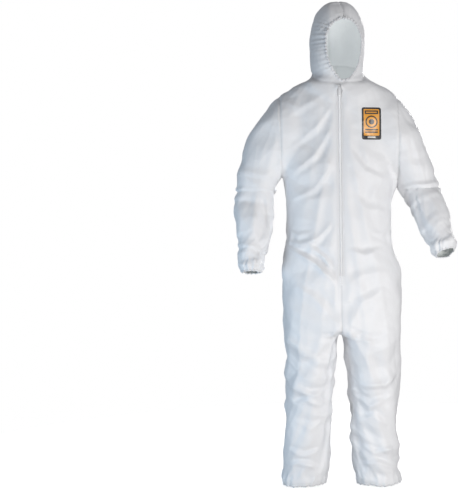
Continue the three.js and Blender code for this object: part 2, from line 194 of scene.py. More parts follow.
def trunk(inset):
    def level(z, width, back, power):
        return level_ring(z, width, front_y(z), back, inset, power=power)

    def slope(t):
        return lerp(SHOULDER_Z, 0.0, t)

    return loft([
        level(CROTCH_Z - 0.008 + inset, 0.396, 0.118, 2.9),
        level(CROTCH_Z + 0.09, 0.406, 0.128, 2.7),
        level(lerp(CROTCH_Z, WAIST_Z, 0.67), 0.406, 0.126, 2.5),
        level(WAIST_Z, 0.378, 0.108, 2.3),
        level(WAIST_Z + 0.09, 0.376, 0.112, 2.3),
        level(ARMPIT_Z - 0.025, 0.390, 0.124, 2.4),
        level(lerp(ARMPIT_Z, SHOULDER_Z, 0.45), 0.406, 0.128, 2.4),
        level(lerp(ARMPIT_Z, SHOULDER_Z, 0.85), 0.410, 0.116, 2.3),
        level(SHOULDER_Z - inset * 0.6, 0.402, 0.104, 2.1),
        level(slope(0.36) - inset * 0.8, 0.332, 0.098, 2.0),
        level(slope(0.62) - inset * 0.8, 0.251, 0.090, 2.0),
        level_ring(slope(0.82), 0.186, front_y(slope(0.82)) + 0.003, 0.086, inset, power=2.0),
        level_ring(0.02, 0.156, -0.086, 0.084, inset, power=2.0),
    ])


def leg(side, inset):
    def level(z, out, width, depth):
        share = (z - HEM_Z) / (CROTCH_Z - HEM_Z)
        middle = lerp(0.003, -0.007, share**2)
        return level_ring(z, width, middle - depth / 2, middle + depth / 2, inset, x=side * (0.1015 + out))

    def at(share):
        return lerp(HEM_Z, CROTCH_Z, share)

    return loft([
        level(HEM_Z - 0.012, 0.03, 0.152, 0.158),
        level(HEM_Z + 0.022, 0.03, 0.164, 0.176),
        level(at(0.14), 0.0255, 0.164, 0.184),
        level(at(0.26), 0.024, 0.164, 0.184),
        level(at(0.4), 0.0195, 0.160, 0.184),
        level(KNEE_Z, 0.015, 0.162, 0.194),
        level(lerp(KNEE_Z, CROTCH_Z, 0.45), 0.0096, 0.172, 0.210),
        level(CROTCH_Z - 0.04, 0.003, 0.184, 0.224),
        level(CROTCH_Z, 0.0, 0.194, 0.226),
        level(CROTCH_Z + 0.045, -0.004, 0.168, 0.196),
    ])


def bezier(a, b, c, t):
    return (1 - t) ** 2 * a + 2 * t * (1 - t) * b + t * t * c


def sleeve(side, inset):
    elbow, direction, end = ELBOW[side], along_arm(side), wrist(side)
    start = 0.191
    out, inner = abs(elbow[0]) + 0.069, abs(elbow[0]) - 0.069
    over = [np.array(p) for p in (
        (side * start, 0.005, SHOULDER_Z + 0.002),
        (side * lerp(start, out, ROUNDNESS[side]), 0.005, lerp(SHOULDER_Z, elbow[2], 0.25)),
        (side * out, elbow[1], elbow[2]))]
    under = [np.array(p) for p in (
        (side * start, 0.005, ARMPIT_Z + 0.006),
        (side * lerp(start, inner, 0.5), 0.005, ARMPIT_Z + 0.002),
        (side * inner, elbow[1], elbow[2]))]
    back = np.array([0, -1.0, 0])
    root = np.array([side * (0.114 - inset * 4), 0.005, (ARMPIT_Z + SHOULDER_Z) / 2])
    rings = [ring(root, (0, 0, side), back, 0.134 - inset, 0.088 - inset, 2.1)]
    for t in (0, 0.2, 0.4, 0.6, 0.8, 1):
        top, bottom = bezier(*over, t), bezier(*under, t)
        u = (top - bottom) / np.linalg.norm(top - bottom) * side
        half = np.linalg.norm(top - bottom) / 2 - inset
        rings.append(ring((top + bottom) / 2, u, back, half, lerp(0.093, 0.068, t) - inset, 2.1))

    def across(behind, toward, half_width, half_depth):
        half_width *= 0.93 if side > 0 and behind > 0.03 else 1.0
        v = back + toward * toward[1]
        v = v / np.linalg.norm(v)
        u = np.cross(v, toward)
        rings.append(ring(end - direction * behind, u, v, half_width - inset, half_depth - inset, 2.1))

    length = FOREARM[side][0]
    turned = direction + np.array([0, 0, -1.0])
    across(length * 0.85, turned / np.linalg.norm(turned), 0.068, 0.066)
    across(length * 0.6, direction, 0.066, 0.064)
    across(length * 0.33, direction, 0.057, 0.056)
    across(0.044, direction, 0.052, 0.050)
    across(0.020, direction, 0.049, 0.048)
    across(0.006, direction, 0.040, 0.038)
    across(-0.012, direction, 0.031, 0.031)
    return loft(rings)


def hood(inset):
    def level(share, width, front, back, turned):
        return level_ring(CROWN_Z * share, 0.196 * width, 0.23 * front, 0.23 * back, inset,
                          turn=HOOD_TURN * turned, power=2.15)

    return loft([
        level_ring(-0.014, 0.156, -0.090, 0.084, inset, power=2.1),
        level(0.05, 0.96, -0.425, 0.44, 0.1),
        level(0.15, 0.99, -0.45, 0.49, 0.4),
        level(0.35, 1.0, -0.47, 0.53, 0.8),
        level(0.54, 0.98, -0.47, 0.54, 1),
        level(0.71, 0.88, -0.435, 0.505, 1),
        level(0.845, 0.72, -0.365, 0.43, 1),
        level(0.94, 0.5, -0.26, 0.32, 1),
        level_ring(CROWN_Z - 0.001 - inset, 0.043 + inset, -0.026, 0.038, inset, turn=HOOD_TURN, power=2.0),
    ])


def mesh_object(name, bm):
    mesh = bpy.data.meshes.new(name)
    bm.to_mesh(mesh)
    bm.free()
    ob = bpy.data.objects.new(name, mesh)
    scene.collection.objects.link(ob)
    return ob


def apply_modifiers(ob):
    depsgraph = bpy.context.evaluated_depsgraph_get()
    depsgraph.update()
    mesh = bpy.data.meshes.new_from_object(ob.evaluated_get(depsgraph))
    old = ob.data
    ob.modifiers.clear()
    ob.data = mesh
    bpy.data.meshes.remove(old)


def coordinates(mesh):
    co = np.empty(len(mesh.vertices) * 3)
    mesh.vertices.foreach_get("co", co)
    return co.reshape(-1, 3)


def set_coordinates(mesh, co):
    mesh.vertices.foreach_set("co", np.ascontiguousarray(co, dtype=np.float32).ravel())
    mesh.update()


def normals(mesh):
    out = np.empty(len(mesh.vertices) * 3)
    mesh.vertex_normals.foreach_get("vector", out)
    return out.reshape(-1, 3)


HIP_OUT, ARM_OUT = 0.017, 0.013


def fuller_on_the_left(p):
    """The suit hangs a little to its own left: that hip and thigh stand wider and that arm further out."""
    depth = -p[:, 2]
    hip = HIP_OUT * smoothstep(depth, 0.60, 0.72) * (1 - smoothstep(depth, 1.10, 1.24))
    hip *= np.clip(p[:, 0] / 0.19, 0, 1)
    upper = ARM_OUT * smoothstep(depth, 0.04, 0.17) * (1 - smoothstep(depth, 0.50, 0.64))
    upper *= smoothstep(p[:, 0], ARMHOLE_X - 0.03, ARMHOLE_X + 0.05)
    out = p.copy()
    out[:, 0] += upper + hip * (1 - smoothstep(p[:, 0], 0.225, 0.245))
    return out


def stored(mesh, name):
    out = np.empty(len(mesh.vertices) * 3)
    mesh.attributes[name].data.foreach_get("vector", out)
    return out.reshape(-1, 3)


def store(mesh, name, vectors):
    made = mesh.attributes.new(name, "FLOAT_VECTOR", "POINT")
    made.data.foreach_set("vector", vectors.astype(np.float32).ravel())


def as_cut(mesh):
    """Where each point of the cloth lay on the form that its panels were cut from."""
    return stored(mesh, "cut")


def whole_form(name, inset, voxel, smooth):
    """All the lofts grown together into one even skin."""
    whole = bmesh.new()
    for part in (trunk(inset), leg(1, inset), leg(-1, inset), sleeve(1, inset), sleeve(-1, inset), hood(inset)):
        mesh = bpy.data.meshes.new("part")
        part.to_mesh(mesh)
        part.free()
        whole.from_mesh(mesh)
        bpy.data.meshes.remove(mesh)
    ob = mesh_object(name, whole)
    remesh = ob.modifiers.new("Remesh", "REMESH")
    remesh.mode = "VOXEL"
    remesh.voxel_size = voxel
    relax = ob.modifiers.new("Smooth", "SMOOTH")
    relax.factor = 0.5
    relax.iterations = smooth
    apply_modifiers(ob)
    return ob


# ---------------------------------------------------------------------------------------------------------------
# Panels: which one each face of the form belongs to, and the lines between them
# ---------------------------------------------------------------------------------------------------------------
def face_outline(margin=0.0, count=160):
    """The egg of the face opening, in the turned hood's own x and height."""
    wide, tall = 0.064 + margin, 0.209
    bottom, top, widest = -margin, tall + margin, tall * 0.6
    segments = [
        ((0.0128, bottom), (wide * 0.75, tall * 0.14), (wide, widest * 0.62), (wide, widest)),
        ((wide, widest), (wide, lerp(widest, top, 0.6)), (wide * 0.6, top), (0, top)),
    ]
    half = []
    for a, b, c, d in segments:
        for t in np.linspace(0, 1, count // 4, endpoint=False):
            half.append([(1 - t) ** 3 * p + 3 * t * (1 - t) ** 2 * q + 3 * t * t * (1 - t) * r + t**3 * s
                         for p, q, r, s in zip(a, b, c, d)])
    half = np.array(half + [[0, top]])
    return np.vstack([half, half[-2::-1] * (-1, 1)])


CHIN_Y = front_y(0.0) + 0.004
FACE_Z = CHIN_Y * 0.371 + 0.012
ACROSS_HOOD = np.array([math.cos(HOOD_TURN), math.sin(HOOD_TURN), 0])
OUT_OF_HOOD = np.array([math.sin(HOOD_TURN), -math.cos(HOOD_TURN), 0])
NECK = np.array(NECK_NORMAL)


def in_hood_plane(p):
    return np.stack([p @ ACROSS_HOOD, p[:, 2] - FACE_Z], axis=1)


def inside_outline(points, outline):
    x, y = points[:, 0][:, None], points[:, 1][:, None]
    ax, ay = outline[:, 0], outline[:, 1]
    bx, by = np.roll(ax, -1), np.roll(ay, -1)
    crossing = (ay > y) != (by > y)
    with np.errstate(divide="ignore", invalid="ignore"):
        at = (bx - ax) * (y - ay) / (by - ay) + ax
    return (np.sum(crossing & (x < at), axis=1) % 2) == 1


FACE_HOLE, ZIP_GAP, CUFF_END, LEG_END = 900, 901, 902, 903  # faces that are cut away
FRONT = 1


def region_of(c):
    """A number for each point: the hundreds say which group, the tens left or right, the units front or back."""
    left = c[:, 0] > 0
    above = c @ NECK > 0
    region = np.where(left, 110, 100) + np.where(c[:, 1] < SIDE_Y, FRONT, 0)  # trunk and thigh panels
    shin = ~above & (c[:, 2] < SPLIT_Z)
    region = np.where(shin, region + 100, region)
    arm = ~above & in_sleeves(c)
    region = np.where(arm, np.where(left, 310, 300), region)
    hooded = np.where(c @ ACROSS_HOOD > 0, 410, 400)
    region = np.where(above, hooded, region)
    hole = above & (c @ OUT_OF_HOOD > 0.02) & inside_outline(in_hood_plane(c), face_outline())
    region = np.where(hole, FACE_HOLE, region)
    slot = ~above & (np.abs(c[:, 0]) < ZIP_HALF) & (c[:, 1] < -0.05) & (c[:, 2] > ZIP_LOW)
    region = np.where(slot, ZIP_GAP, region)
    for side in (1, -1):
        past = arm & (c[:, 0] * side > 0) & ((c - wrist(side)) @ along_arm(side) > 0)
        region = np.where(past, CUFF_END, region)
    return np.where(shin & (c[:, 2] < HEM_Z), LEG_END, region)


def onto_plane(p, point, normal):
    return p - np.outer((p - point) @ normal, normal)


def onto_line_between(p, a, b):
    """Points p moved onto the seam between regions a and b."""
    a, b = min(a, b), max(a, b)
    ga, gb = a // 100, b // 100
    if b == FACE_HOLE:
        flat = in_hood_plane(p)
        outline = face_outline()
        ends = np.roll(outline, -1, axis=0)
        best, found = np.full(len(p), np.inf), flat.copy()
        for s, e in zip(outline, ends):
            d = e - s
            t = np.clip((flat - s) @ d / max(d @ d, 1e-12), 0, 1)
            q = s + t[:, None] * d
            far = np.linalg.norm(flat - q, axis=1)
            nearer = far < best
            best[nearer], found[nearer] = far[nearer], q[nearer]
        move = found - flat
        return p + move[:, :1] * ACROSS_HOOD + move[:, 1:] * np.array([0, 0, 1.0])
    if b == ZIP_GAP and ga != 4:
        q = p.copy()
        bottom = np.abs(p[:, 2] - ZIP_LOW) < np.abs(np.abs(p[:, 0]) - ZIP_HALF)
        q[bottom, 2] = ZIP_LOW
        q[~bottom, 0] = np.sign(p[~bottom, 0]) * ZIP_HALF
        return q
    if b == CUFF_END:
        side = 1 if a == 310 else -1
        return onto_plane(p, wrist(side), along_arm(side))
    if b == LEG_END:
        return onto_plane(p, np.array([0, 0, HEM_Z]), np.array([0, 0, 1.0]))
    if (ga == 4) != (gb == 4) or ga == 4 and b == ZIP_GAP:
        return onto_plane(p, np.zeros(3), NECK)
    if ga == 4:
        return onto_plane(p, np.zeros(3), ACROSS_HOOD)
    if gb == 3:
        side = 1 if b == 310 else -1
        return onto_plane(p, np.array([side * ARMHOLE_X, 0, 0]), np.array([1.0, 0, 0]))
    if ga != gb:
        return onto_plane(p, np.array([0, 0, SPLIT_Z]), np.array([0, 0, 1.0]))
    if a // 10 != b // 10:
        return onto_plane(p, np.zeros(3), np.array([1.0, 0, 0]))
    return onto_plane(p, np.array([0, SIDE_Y, 0]), np.array([0, 1.0, 0]))


def mark_panels(ob):
    """Gives every face its region, and draws each border straight along its seam."""
    bm = bmesh.new()
    bm.from_mesh(ob.data)
    bm.faces.ensure_lookup_table()
    bm.verts.ensure_lookup_table()
    centres = np.array([f.calc_center_median() for f in bm.faces])
    region = region_of(centres)
    # a face that stands alone among another region joins it
    for _ in range(3):
        for f in bm.faces:
            near = [region[g.index] for e in f.edges for g in e.link_faces if g is not f]
            if near and near.count(region[f.index]) <= 1:
                region[f.index] = max(set(near), key=near.count)
    layer = bm.faces.layers.int.new("region")
    for f in bm.faces:
        f[layer] = int(region[f.index])
    borders = {}
    links = {}
    for e in bm.edges:
        if len(e.link_faces) == 2:
            a, b = (int(region[f.index]) for f in e.link_faces)
            if a != b:
                for v in e.verts:
                    borders.setdefault(v.index, set()).add((min(a, b), max(a, b)))
                i, k = e.verts[0].index, e.verts[1].index
                links.setdefault(i, set()).add(k)
                links.setdefault(k, set()).add(i)
    co = np.array([v.co for v in bm.verts])
    by_pair = {}
    for v, pairs in borders.items():
        for pair in pairs:
            by_pair.setdefault(pair, []).append(v)
    movable = [v for v in borders if len(borders[v]) == 1 and len(links[v]) == 2]
    first = np.array([sorted(links[v])[0] for v in movable])
    second = np.array([sorted(links[v])[1] for v in movable])
    movable = np.array(movable)
    for _ in range(12):
        for _ in range(2):
            for pair, verts in sorted(by_pair.items()):
                co[verts] = onto_line_between(co[verts], *pair)
        co[movable] = co[movable] * 0.4 + (co[first] + co[second]) * 0.3
    for _ in range(3):
        for pair, verts in sorted(by_pair.items()):
            co[verts] = onto_line_between(co[verts], *pair)
    # let the faces beside a border even out
    on_border = np.zeros(len(co), bool)
    on_border[list(borders)] = True

    def round_about(chosen):
        return {w.index for v in chosen for e in bm.verts[v].link_edges for w in e.verts if not on_border[w.index]}

    beside = round_about(round_about(borders))
    for _ in range(6):
        moved = {v: np.mean([co[e.other_vert(bm.verts[v]).index] for e in bm.verts[v].link_edges], axis=0)
                 for v in beside}
        for v, p in moved.items():
            co[v] = co[v] * 0.5 + p * 0.5
    for v, p in zip(bm.verts, co):
        v.co = p
    bm.normal_update()
    bm.to_mesh(ob.data)
    bm.free()


# ---------------------------------------------------------------------------------------------------------------
# Hanging the cloth
# ---------------------------------------------------------------------------------------------------------------
def slack_of(p):
    """Where the cloth has length to spare: the elbows, the waist, the knees and above the leg hems."""
    arm = in_sleeves(p)
    body = 0.1 + 0.3 * bump(p[:, 2], WAIST_Z + 0.02, 0.09) + 0.1 * bump(p[:, 2], CROTCH_Z + 0.05, 0.08)
    legs = 0.3 + 0.6 * bump(p[:, 2], KNEE_Z, 0.09) + 0.7 * bump(p[:, 2], HEM_Z + 0.08, 0.09)
    arms = 0.3 + 0.7 * bump(p[:, 2], ELBOW[1][2] - 0.02, 0.08)
    out = np.where(p[:, 2] < CROTCH_Z, legs, body)
    out = np.where(arm, arms, out)
    return np.clip(np.where(p @ NECK > -0.03, 0.0, out), 0, 1)


def pinned_of(p):
    held = np.where(beside_zip(p), 1 - smoothstep(np.abs(p[:, 0]), 0.016, 0.034), 0.0)
    held = np.maximum(held, smoothstep(p @ NECK, -0.035, -0.012))
    held = np.maximum(held, 1 - smoothstep(p[:, 2], HEM_Z + 0.004, HEM_Z + 0.018))
    from_crotch = np.linalg.norm((p - (0, 0, CROTCH_Z)) * (1.0, 0.45, 1.0), axis=1)
    held = np.maximum(held, 1 - smoothstep(from_crotch, 0.018, 0.062))
    for side in (1, -1):
        arm = in_sleeve(p, side)
        past = (p - wrist(side)) @ along_arm(side)
        held = np.where(arm, np.maximum(held, smoothstep(past, -0.026, -0.014)), held)
    return held


def weights(ob, name, values):
    group = ob.vertex_groups.new(name=name)
    steps = np.round(values * 40).astype(int)
    for step in np.unique(steps):
        if step > 0:
            group.add([int(i) for i in np.nonzero(steps == step)[0]], step / 40, "REPLACE")
    return group.name


def hang(ob, frames=34):
    """Lets the cloth settle over a hidden stand, with spare length where the suit bunches."""
    stand = whole_form("stand", 0.014, 0.018, 3)
    set_coordinates(stand.data, fuller_on_the_left(coordinates(stand.data)))
    stand.modifiers.new("Collision", "COLLISION")
    stand.collision.thickness_outer = 0.003
    stand.collision.cloth_friction = 12
    p = as_cut(ob.data)
    pins = weights(ob, "pins", pinned_of(p))
    slack = weights(ob, "slack", slack_of(p))
    cloth = ob.modifiers.new("Cloth", "CLOTH")
    s = cloth.settings
    s.quality = 6
    s.mass = 0.12
    s.tension_stiffness = s.compression_stiffness = 22
    s.shear_stiffness = 9
    s.bending_stiffness = 0.7
    s.tension_damping = s.compression_damping = s.shear_damping = 8
    s.bending_damping = 1.0
    s.air_damping = 2.5
    s.vertex_group_mass = pins
    s.vertex_group_shrink = slack
    s.shrink_min = 0.0
    s.shrink_max = -0.12
    s.use_pressure = True
    s.uniform_pressure_force = 0.25
    cloth.collision_settings.collision_quality = 2
    cloth.collision_settings.distance_min = 0.003
    cloth.collision_settings.use_self_collision = False
    cloth.point_cache.frame_start = 1
    cloth.point_cache.frame_end = frames
    scene.frame_start, scene.frame_end = 1, frames
    rest, out = coordinates(ob.data), normals(ob.data)
    for number in range(1, frames + 1):
        scene.frame_set(number)
    apply_modifiers(ob)
    bpy.data.objects.remove(stand)
    scene.frame_set(1)
    co = coordinates(ob.data)
    move = co - rest
    far = np.linalg.norm(move, axis=1)
    print("cloth moved up to %.1f mm, mean %.1f mm" % (far.max() * 1000, far.mean() * 1000))
    move *= np.minimum(1, 0.04 / np.maximum(far, 1e-9))[:, None]
    # the settled cloth keeps the size of the form: it may stand out from it more than it falls in
    along = np.sum(move * out, axis=1)
    limit = np.where(along < 0, 0.009, 0.013)
    move += out * (np.tanh(along / limit) * limit - along)[:, None]
    arm = in_sleeves(p)
    calm = np.where(arm, 1.0, np.where(p[:, 2] > CROTCH_Z, 0.46, 0.80))
    calm = np.where(arm, calm, calm * (1 - 0.25 * bump(p[:, 2], (WAIST_Z + CROTCH_Z) / 2 - 0.04, 0.16)))
    move *= calm[:, None]
    set_coordinates(ob.data, rest + move)


# ---------------------------------------------------------------------------------------------------------------
# Creases and gathers
# ---------------------------------------------------------------------------------------------------------------
def wander(seed, t):
    """A slow wave without a period that the eye finds, from -1 to 1."""
    r = np.random.default_rng(seed)
    out = np.zeros_like(t)
    for k in range(5):
        out += np.sin(t * (1 + k * 0.83) * (0.8 + 0.5 * r.random()) + r.random() * 6.28) / (1 + 0.6 * k)
    return out / 2.2


def crease(p, path, width, depth, face):
    """A soft ridge with a valley beside it, along a path of (x, z) points seen from the front or the back."""
    path = np.array(path, float)
    flat = p[:, [0, 2]]
    best = np.full(len(p), np.inf)
    side = np.zeros(len(p))
    share = np.zeros(len(p))
    lengths = np.linalg.norm(np.diff(path, axis=0), axis=1)
    starts = np.concatenate([[0], np.cumsum(lengths)])
    for a, b, length, start in zip(path[:-1], path[1:], lengths, starts):
        d = (b - a) / length
        t = np.clip((flat - a) @ d, 0, length)
        away = flat - a - t[:, None] * d
        far = np.linalg.norm(away, axis=1)
        nearer = far < best
        best[nearer] = far[nearer]
        side[nearer] = np.sign(away[nearer] @ np.array([-d[1], d[0]]))
        share[nearer] = (start + t[nearer]) / starts[-1]
    swell = np.sin(np.pi * np.clip(share, 0.0, 1.0))
    s = best * side / (width * (0.75 + 0.45 * swell))
    fade = swell**0.8
    profile = np.exp(-np.abs(s) ** 1.4) - 0.75 * np.exp(-((s - 1.4) ** 2) * 1.2)
    facing = smoothstep(-p[:, 1] if face == "front" else p[:, 1], -0.02, 0.03)
    return depth * profile * fade * facing


def seam_distance(p):
    """How far each point of the rest form is from the sewn lines of the outside."""
    below = p @ NECK < 0
    arm = (np.abs(p[:, 0]) > ARMHOLE_X - 0.03) & (p[:, 2] > SLEEVE_LOW_Z) & below
    far = np.full(len(p), 0.05)
    body = below & (np.abs(p[:, 0]) <= ARMHOLE_X)
    middle = body & ((p[:, 1] > 0) | (p[:, 2] < ZIP_LOW)) & (p[:, 2] > CROTCH_Z - 0.004)
    far = np.where(middle, np.minimum(far, np.abs(p[:, 0])), far)
    far = np.where(body, np.minimum(far, np.abs(p[:, 1] - SIDE_Y)), far)
    far = np.where(arm, np.minimum(far, np.abs(np.abs(p[:, 0]) - ARMHOLE_X)), far)
    far = np.minimum(far, np.abs(p @ NECK))
    return np.where(~below, np.minimum(far, np.abs(p @ ACROSS_HOOD)), far)


def gathers(p):
    """Small folds that the elastics draw in the cloth round the face, the wrists, the waist and the ankles."""
    out = np.zeros(len(p))
    # round the face
    flat = in_hood_plane(p)
    outline = face_outline()
    far = np.full(len(p), np.inf)
    share = np.zeros(len(p))
    front = (p @ NECK > -0.01) & (p @ OUT_OF_HOOD > 0.0)
    index = np.nonzero(front)[0]
    d = np.linalg.norm(flat[index][:, None, :] - outline[None, :, :], axis=2)
    far[index] = d.min(axis=1)
    share[index] = d.argmin(axis=1) / len(outline)
    wave = np.sin(share * 2 * np.pi * 44 + 2.6 * wander(3, share * 20)) * (0.7 + 0.5 * wander(4, share * 12))
    uneven = 0.62 + 0.58 * np.cos(2 * np.pi * (share - 0.64))
    out += 0.0034 * wave * np.exp(-far / 0.025) * uneven
    # round the wrists and up the cuffs
    for side in (1, -1):
        arm = in_sleeve(p, side)
        rel = p - wrist(side)
        back = -(rel @ along_arm(side))
        a = np.arctan2(rel[:, 1], rel[:, 0] * side)
        wave = np.sin(a * 13 + 3.2 * wander(7 + side, a * 3 + back * 26))
        fine = np.sin(a * 27 + 3.0 * wander(9 + side, a * 4 - back * 35))
        up = np.clip(back, 0, None)
        uneven = 0.75 + 0.35 * np.sin(a * 2 + side)
        amount = (0.0019 * np.exp(-(((up - 0.018) / 0.030) ** 2)) + 0.0009 * np.exp(-up / 0.012)) * uneven
        out += np.where(arm, wave * amount + fine * 0.0009 * np.exp(-up / 0.02), 0)
    # across the back of the waist and round to the sides
    body = (np.abs(p[:, 0]) < ARMHOLE_X) & (p @ NECK < 0)
    wave = np.sin(p[:, 0] * 150 + 3 * wander(12, p[:, 0] * 18)) * smoothstep(p[:, 1], -0.03, 0.03)
    wave += np.sin(p[:, 1] * 190 + 2 * wander(13, p[:, 1] * 20)) * smoothstep(np.abs(p[:, 0]), 0.13, 0.175) \
        * (1 - smoothstep(p[:, 1], 0.02, 0.06))
    near = np.exp(-(((p[:, 2] - WAIST_Z) / 0.026) ** 2))
    drawn = -0.004 * np.exp(-(((p[:, 2] - WAIST_Z) / 0.012) ** 2)) * smoothstep(p[:, 1], -0.06, 0.02)
    out += np.where(body, 0.0022 * wave * near + drawn, 0)
    # round the ankles
    shin = p[:, 2] < HEM_Z + 0.09
    a = np.arctan2(p[:, 1], np.abs(p[:, 0]) - 0.1315) + np.where(p[:, 0] > 0, 0.0, 2.0)
    wave = np.sin(a * 17 + 2.2 * wander(15, a * 2.5 + p[:, 2] * 25))
    up = p[:, 2] - HEM_Z
    out += np.where(shin, wave * (0.0016 * np.exp(-up / 0.016) + 0.0012 * bump(up, 0.03, 0.02)), 0)
    return out


CREASES = [
    # the long folds at the hip, drawn to the end of the zip
    ("front", [(-0.030, -0.520), (-0.080, -0.570), (-0.165, -0.612)], 0.011, 0.0075),
    ("front", [(-0.188, -0.600), (-0.085, -0.662), (0.014, -0.762)], 0.010, 0.0105),
    ("front", [(-0.120, -0.585), (-0.060, -0.640), (-0.004, -0.725)], 0.008, 0.0050),
    ("front", [(0.020, -0.615), (0.085, -0.632), (0.150, -0.610)], 0.012, 0.0048),
    ("front", [(0.012, -0.735), (0.070, -0.700), (0.160, -0.690)], 0.016, 0.0040),
    ("front", [(-0.160, -0.735), (-0.095, -0.775), (-0.022, -0.868)], 0.014, 0.0050),
    ("front", [(0.028, -0.880), (0.060, -0.800), (0.150, -0.745)], 0.015, 0.0050),
    # across the chest, from the zip down to the side
    ("front", [(-0.020, -0.105), (-0.080, -0.185), (-0.165, -0.255)], 0.011, 0.0062),
    ("front", [(-0.030, -0.190), (-0.090, -0.285), (-0.170, -0.350)], 0.011, 0.0080),
    ("front", [(-0.035, -0.330), (-0.095, -0.400), (-0.175, -0.440)], 0.011, 0.0058),
    ("front", [(-0.040, -0.070), (-0.110, -0.105), (-0.180, -0.150)], 0.011, 0.0036),
    ("front", [(0.025, -0.260), (0.085, -0.340), (0.165, -0.372)], 0.012, 0.0055),
    ("front", [(0.030, -0.420), (0.095, -0.470), (0.175, -0.485)], 0.014, 0.0040),
    ("front", [(0.175, -0.300), (0.150, -0.380), (0.100, -0.450)], 0.011, 0.0030),
    # the waist, where the back is drawn in
    ("front", [(-0.185, -0.545), (-0.150, -0.560), (-0.100, -0.548)], 0.008, 0.0040),
    ("front", [(-0.188, -0.580), (-0.145, -0.590), (-0.110, -0.580)], 0.008, 0.0034),
    ("front", [(0.185, -0.545), (0.150, -0.562), (0.105, -0.552)], 0.008, 0.0036),
    # knees
    ("front", [(-0.165, -1.085), (-0.120, -1.112), (-0.055, -1.100)], 0.011, 0.0072),
    ("front", [(-0.185, -1.145), (-0.130, -1.130), (-0.070, -1.155)], 0.010, 0.0060),
    ("front", [(-0.175, -1.200), (-0.120, -1.225), (-0.070, -1.205)], 0.012, 0.0050),
    ("front", [(0.190, -1.040), (0.150, -1.075), (0.070, -1.080)], 0.011, 0.0068),
    ("front", [(0.045, -1.120), (0.100, -1.150), (0.180, -1.115)], 0.011, 0.0066),
    ("front", [(0.060, -1.210), (0.115, -1.185), (0.170, -1.225)], 0.010, 0.0050),
    # shins and ankles
    ("front", [(-0.195, -1.300), (-0.140, -1.325), (-0.075, -1.305)], 0.010, 0.0052),
    ("front", [(-0.200, -1.362), (-0.150, -1.348), (-0.070, -1.372)], 0.009, 0.0056),
    ("front", [(0.065, -1.290), (0.120, -1.318), (0.190, -1.300)], 0.010, 0.0052),
    ("front", [(0.060, -1.365), (0.125, -1.350), (0.195, -1.378)], 0.009, 0.0056),
    # from the crotch down the inner thighs
    ("front", [(-0.008, -0.885), (-0.040, -0.935), (-0.062, -1.020)], 0.009, 0.0060),
    ("front", [(0.010, -0.885), (0.052, -0.915), (0.120, -0.930)], 0.010, 0.0058),
    # thighs
    ("front", [(-0.045, -0.905), (-0.085, -0.960), (-0.165, -0.985)], 0.013, 0.0045),
    ("front", [(0.045, -0.905), (0.085, -0.985), (0.110, -1.060)], 0.013, 0.0050),
    # the back: shoulders, waist, seat and knees
    ("back", [(-0.160, -0.120), (-0.080, -0.190), (0.010, -0.215)], 0.015, 0.0045),
    ("back", [(0.165, -0.135), (0.090, -0.215), (0.020, -0.255)], 0.015, 0.0045),
    ("back", [(-0.170, -0.360), (-0.090, -0.440), (-0.020, -0.520)], 0.014, 0.0050),
    ("back", [(0.170, -0.345), (0.095, -0.430), (0.030, -0.500)], 0.014, 0.0050),
    ("back", [(-0.165, -0.640), (-0.090, -0.720), (-0.015, -0.820)], 0.016, 0.0055),
    ("back", [(0.165, -0.650), (0.090, -0.735), (0.015, -0.850)], 0.016, 0.0055),
    ("back", [(-0.175, -1.075), (-0.120, -1.105), (-0.050, -1.090)], 0.012, 0.0070),
    ("back", [(0.175, -1.080), (0.120, -1.108), (0.050, -1.095)], 0.012, 0.0070),
    ("back", [(-0.190, -1.160), (-0.130, -1.140), (-0.065, -1.165)], 0.012, 0.0060),
    ("back", [(0.190, -1.165), (0.130, -1.143), (0.065, -1.168)], 0.012, 0.0060),
    ("back", [(-0.195, -1.345), (-0.140, -1.365), (-0.070, -1.345)], 0.010, 0.0050),
    ("back", [(0.195, -1.345), (0.140, -1.365), (0.070, -1.345)], 0.010, 0.0050),
]


def arm_creases(p):
    """Folds round the elbows: each is a ring that tilts as it goes round the sleeve."""
    out = np.zeros(len(p))
    folds = {
        -1: [(0.004, 0.008, 0.0120, 0.08, 0.0), (0.046, 0.013, 0.0026, 0.9, 2.2), (-0.036, 0.012, 0.0034, 0.6, 0.8),
             (-0.095, 0.015, 0.0022, 0.9, 3.0), (0.105, 0.018, 0.0018, 1.3, 1.2), (-0.165, 0.012, 0.0026, 0.9, 4.0),
             (-0.210, 0.010, 0.0028, 0.7, 1.0)],
        1: [(0.010, 0.009, 0.0066, 0.45, 1.8), (-0.028, 0.009, 0.0078, 0.40, 3.6), (0.062, 0.014, 0.0030, 0.9, 0.6),
            (-0.080, 0.013, 0.0030, 0.8, 2.6), (0.115, 0.018, 0.0020, 1.2, 2.2), (-0.140, 0.012, 0.0024, 0.9, 0.5),
            (-0.185, 0.010, 0.0028, 0.7, 3.0)],
    }
    for side, rings in folds.items():
        arm = in_sleeve(p, side) & (p @ NECK < 0)
        rel = p - ELBOW[side]
        down = along_arm(side)
        lower = rel @ down
        up = rel[:, 2]
        height = np.where(up > 0, up, np.where(lower > 0, -lower, 0))
        a = np.arctan2(rel[:, 1], rel[:, 0] * side)
        for z, width, depth, tilt, phase in rings:
            s = (height - z - 0.022 * tilt * np.sin(a + phase) - 0.005 * wander(int(40 + phase * 9), a * 2)) / width
            profile = np.exp(-(s**2)) - 0.8 * np.exp(-((s + 1.3) ** 2) * 1.2)
            part = 0.55 + 0.45 * np.sin(a * 1.0 + phase * 1.7)
            out += np.where(arm, depth * profile * part, 0)
    return out


